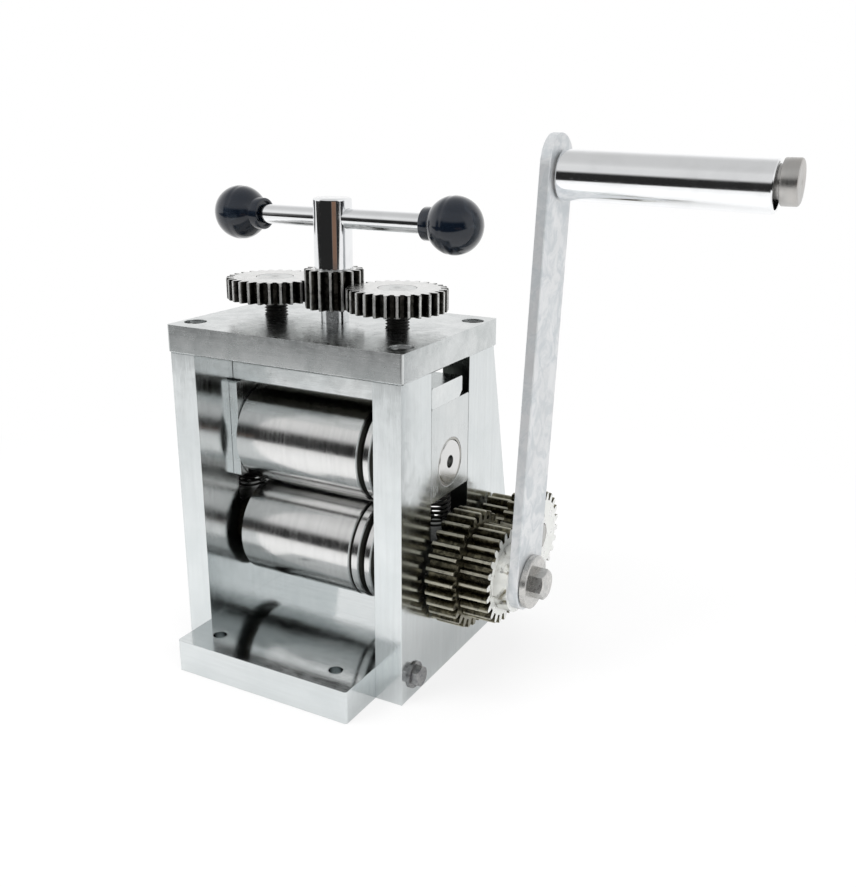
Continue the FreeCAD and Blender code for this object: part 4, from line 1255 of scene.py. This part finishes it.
@dataclass
class Studio:
    """Camera, floor, world and lamps."""

    camera_place: Tuple[float, float, float] = (0.230704, -0.3434644, 0.2253516)
    right: Tuple[float, float, float] = (0.8783202, 0.4780329, 0.0061738)
    up: Tuple[float, float, float] = (-0.1524956, 0.2679036, 0.9513006)
    forward: Tuple[float, float, float] = (-0.453099, 0.836488, -0.3082031)
    focal_pixels: float = 994.08
    picture_height: float = 887.0
    floor_size: float = 6.0
    floor_drop: float = 0.0002
    near_glow: float = 0.80
    near_mirror_drop: float = 0.50
    glow_ring: Tuple[float, float] = (0.06, 0.40)
    room_edge: Tuple[float, float] = (-0.58, -0.46)
    ambient: float = 0.55
    room_shade: float = 0.02
    room_light: float = 0.72
    room_way: Tuple[float, float] = (0.2, -0.98)
    room_turn: Tuple[float, float] = (0.42, 0.66)
    room_rise: Tuple[float, float] = (0.20, 0.40)
    ceiling: Tuple[float, float, float] = (0.72, 0.98, 0.75)
    back_fade: Tuple[float, float, float] = (0.35, 0.95, 0.6)
    copper: Colour = (0.60, 0.36, 0.25)
    copper_way: Tuple[float, float] = (0.66, -0.75)
    copper_turn: Tuple[float, float] = (0.965, 0.985)
    copper_far: Tuple[float, float] = (1.1, 1.3)
    copper_light: float = 0.35

    def camera(self) -> None:
        """Set the camera where the photograph was taken."""
        data = bpy.data.cameras.new("photo_camera")
        data.sensor_fit = "VERTICAL"
        data.sensor_height = 36.0
        data.lens = self.focal_pixels / self.picture_height * 36.0
        data.clip_start = 0.01
        data.clip_end = 50.0
        camera = bpy.data.objects.new("photo_camera", data)
        bpy.context.scene.collection.objects.link(camera)
        rows = zip(self.right, self.up, [-c for c in self.forward], self.camera_place)
        camera.matrix_world = Matrix([list(row) for row in rows] + [[0, 0, 0, 1]])
        bpy.context.scene.camera = camera

    def floor(self) -> None:
        """Lay a pale floor that keeps the object's shadow.

        Polished metal mirrors it darker near the object, dark where the room in front begins, and copper
        in one far patch.
        """
        deselect_all()
        bpy.ops.mesh.primitive_plane_add(size=self.floor_size, location=(0.0, 0.0, -self.floor_drop))
        floor = bpy.context.object
        floor.name = "studio_floor"
        board = MaterialBoard("floor_paper")
        board.set(Base_Color=(0.86, 0.86, 0.86), Roughness=0.9)
        path = board.node("ShaderNodeLightPath").outputs
        mirrored = path["Is Glossy Ray"]
        seen = board.math("MAXIMUM", path["Is Camera Ray"], mirrored)
        seen = board.math("MAXIMUM", seen, path["Is Transmission Ray"])
        length = board.node("ShaderNodeVectorMath", operation="LENGTH")
        board.feed(length.inputs[0], board.object_point)
        distance = length.outputs["Value"]
        near = board.math("SUBTRACT", self.near_glow, board.math("MULTIPLY", mirrored, self.near_mirror_drop))
        fade = board.math("MAXIMUM", near, board.span(distance, *self.glow_ring, 0.3, 1.0))
        point = board.parts(board.object_point)
        room = board.span(point["Y"], *self.room_edge, self.room_shade, 1.0)
        dim = board.math("MULTIPLY", mirrored, board.math("SUBTRACT", 1.0, room))
        aside = board.math("DIVIDE", board.toward(self.copper_way, point), distance)
        warm = board.math("MULTIPLY", board.span(aside, *self.copper_turn),
                          board.span(distance, *self.copper_far))
        warm = board.math("MULTIPLY", warm, mirrored)
        glow = board.node("ShaderNodeEmission")
        board.feed(glow.inputs["Color"], board.mix(warm, (1.0, 1.0, 1.0), self.copper))
        board.feed(glow.inputs["Strength"], board.math("ADD", board.math("SUBTRACT", 1.0, dim),
                                                       board.math("MULTIPLY", warm, self.copper_light)))
        blend = board.node("ShaderNodeMixShader")
        board.feed(blend.inputs[0], board.math("MULTIPLY", seen, fade))
        board.feed(blend.inputs[1], board.shader.outputs[0])
        board.feed(blend.inputs[2], glow.outputs[0])
        board.feed(board.tree.nodes["Material Output"].inputs["Surface"], blend.outputs[0])
        dress(floor, board.material)

    def world(self) -> None:
        """Set white surroundings, with a dimmer room in front that only polished metal mirrors."""
        world = bpy.data.worlds.new("studio_world")
        bpy.context.scene.world = world
        world.use_nodes = True
        world.node_tree.nodes.clear()
        board = NodeBoard(world.node_tree)
        way = board.parts(board.node("ShaderNodeTexCoord").outputs["Generated"])
        height = way["Z"]
        low, high, ceiling = self.ceiling
        front = board.math("MULTIPLY", board.span(height, *self.room_rise, self.room_shade, self.room_light),
                           board.span(height, low, high, 1.0, ceiling))
        in_front = board.span(board.toward(self.room_way, way), *self.room_turn)
        low, high, top = self.back_fade
        back = board.span(height, low, high, 1.0, top)
        mirrored = board.math("ADD", board.math("MULTIPLY", in_front, front),
                              board.math("MULTIPLY", board.math("SUBTRACT", 1.0, in_front), back))
        path = board.node("ShaderNodeLightPath").outputs
        glossy = path["Is Glossy Ray"]
        clear = board.math("MAXIMUM", path["Is Camera Ray"], path["Is Transmission Ray"])
        matte = board.math("SUBTRACT", 1.0, board.math("MAXIMUM", clear, glossy))
        strength = board.math("ADD", board.math("MULTIPLY", glossy, mirrored), clear)
        light = board.node("ShaderNodeBackground")
        board.feed(light.inputs["Color"], (1.0, 1.0, 1.0, 1.0))
        board.feed(light.inputs["Strength"],
                   board.math("ADD", strength, board.math("MULTIPLY", matte, self.ambient)))
        board.feed(board.node("ShaderNodeOutputWorld").inputs["Surface"], light.outputs[0])

    def lamp(self, name: str, place: Sequence[float], target: Sequence[float], size: float,
             power: float) -> None:
        """Hang one soft area lamp.

        Args:
            name: Name of the lamp.
            place: Where it hangs, in metres.
            target: What it points at, in metres.
            size: Side of the square lamp, in metres.
            power: Power in watts.
        """
        data = bpy.data.lights.new(name, "AREA")
        data.shape = "SQUARE"
        data.size = size
        data.energy = power
        lamp = bpy.data.objects.new(name, data)
        bpy.context.scene.collection.objects.link(lamp)
        lamp.location = place
        aim = Vector(target) - Vector(place)
        lamp.rotation_euler = aim.to_track_quat("-Z", "Y").to_euler()
        lamp.visible_glossy = False

    def build(self) -> None:
        """Set up the whole studio."""
        self.camera()
        self.floor()
        self.world()
        self.lamp("key_lamp", (-0.7, -0.9, 1.1), (0, 0, 0.09), 0.9, 16.0)
        self.lamp("fill_lamp", (1.2, -0.5, 0.7), (0.05, 0, 0.1), 0.8, 7.0)
        self.lamp("top_lamp", (0.0, 0.3, 1.4), (0, 0, 0.1), 1.0, 9.0)
        view = bpy.context.scene.view_settings
        view.view_transform = "Standard"
        LOG.info("studio set")


def main() -> None:
    """Build the mill's looks and the studio."""
    logging.basicConfig(level=logging.INFO, format="%(name)s: %(message)s")
    for assembly in (FramePlates(), Rolls(), Carriage(), GearSet(), Crank(), GapAdjuster(), Studio()):
        assembly.build()
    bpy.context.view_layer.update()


if __name__ == "__main__":
    main()
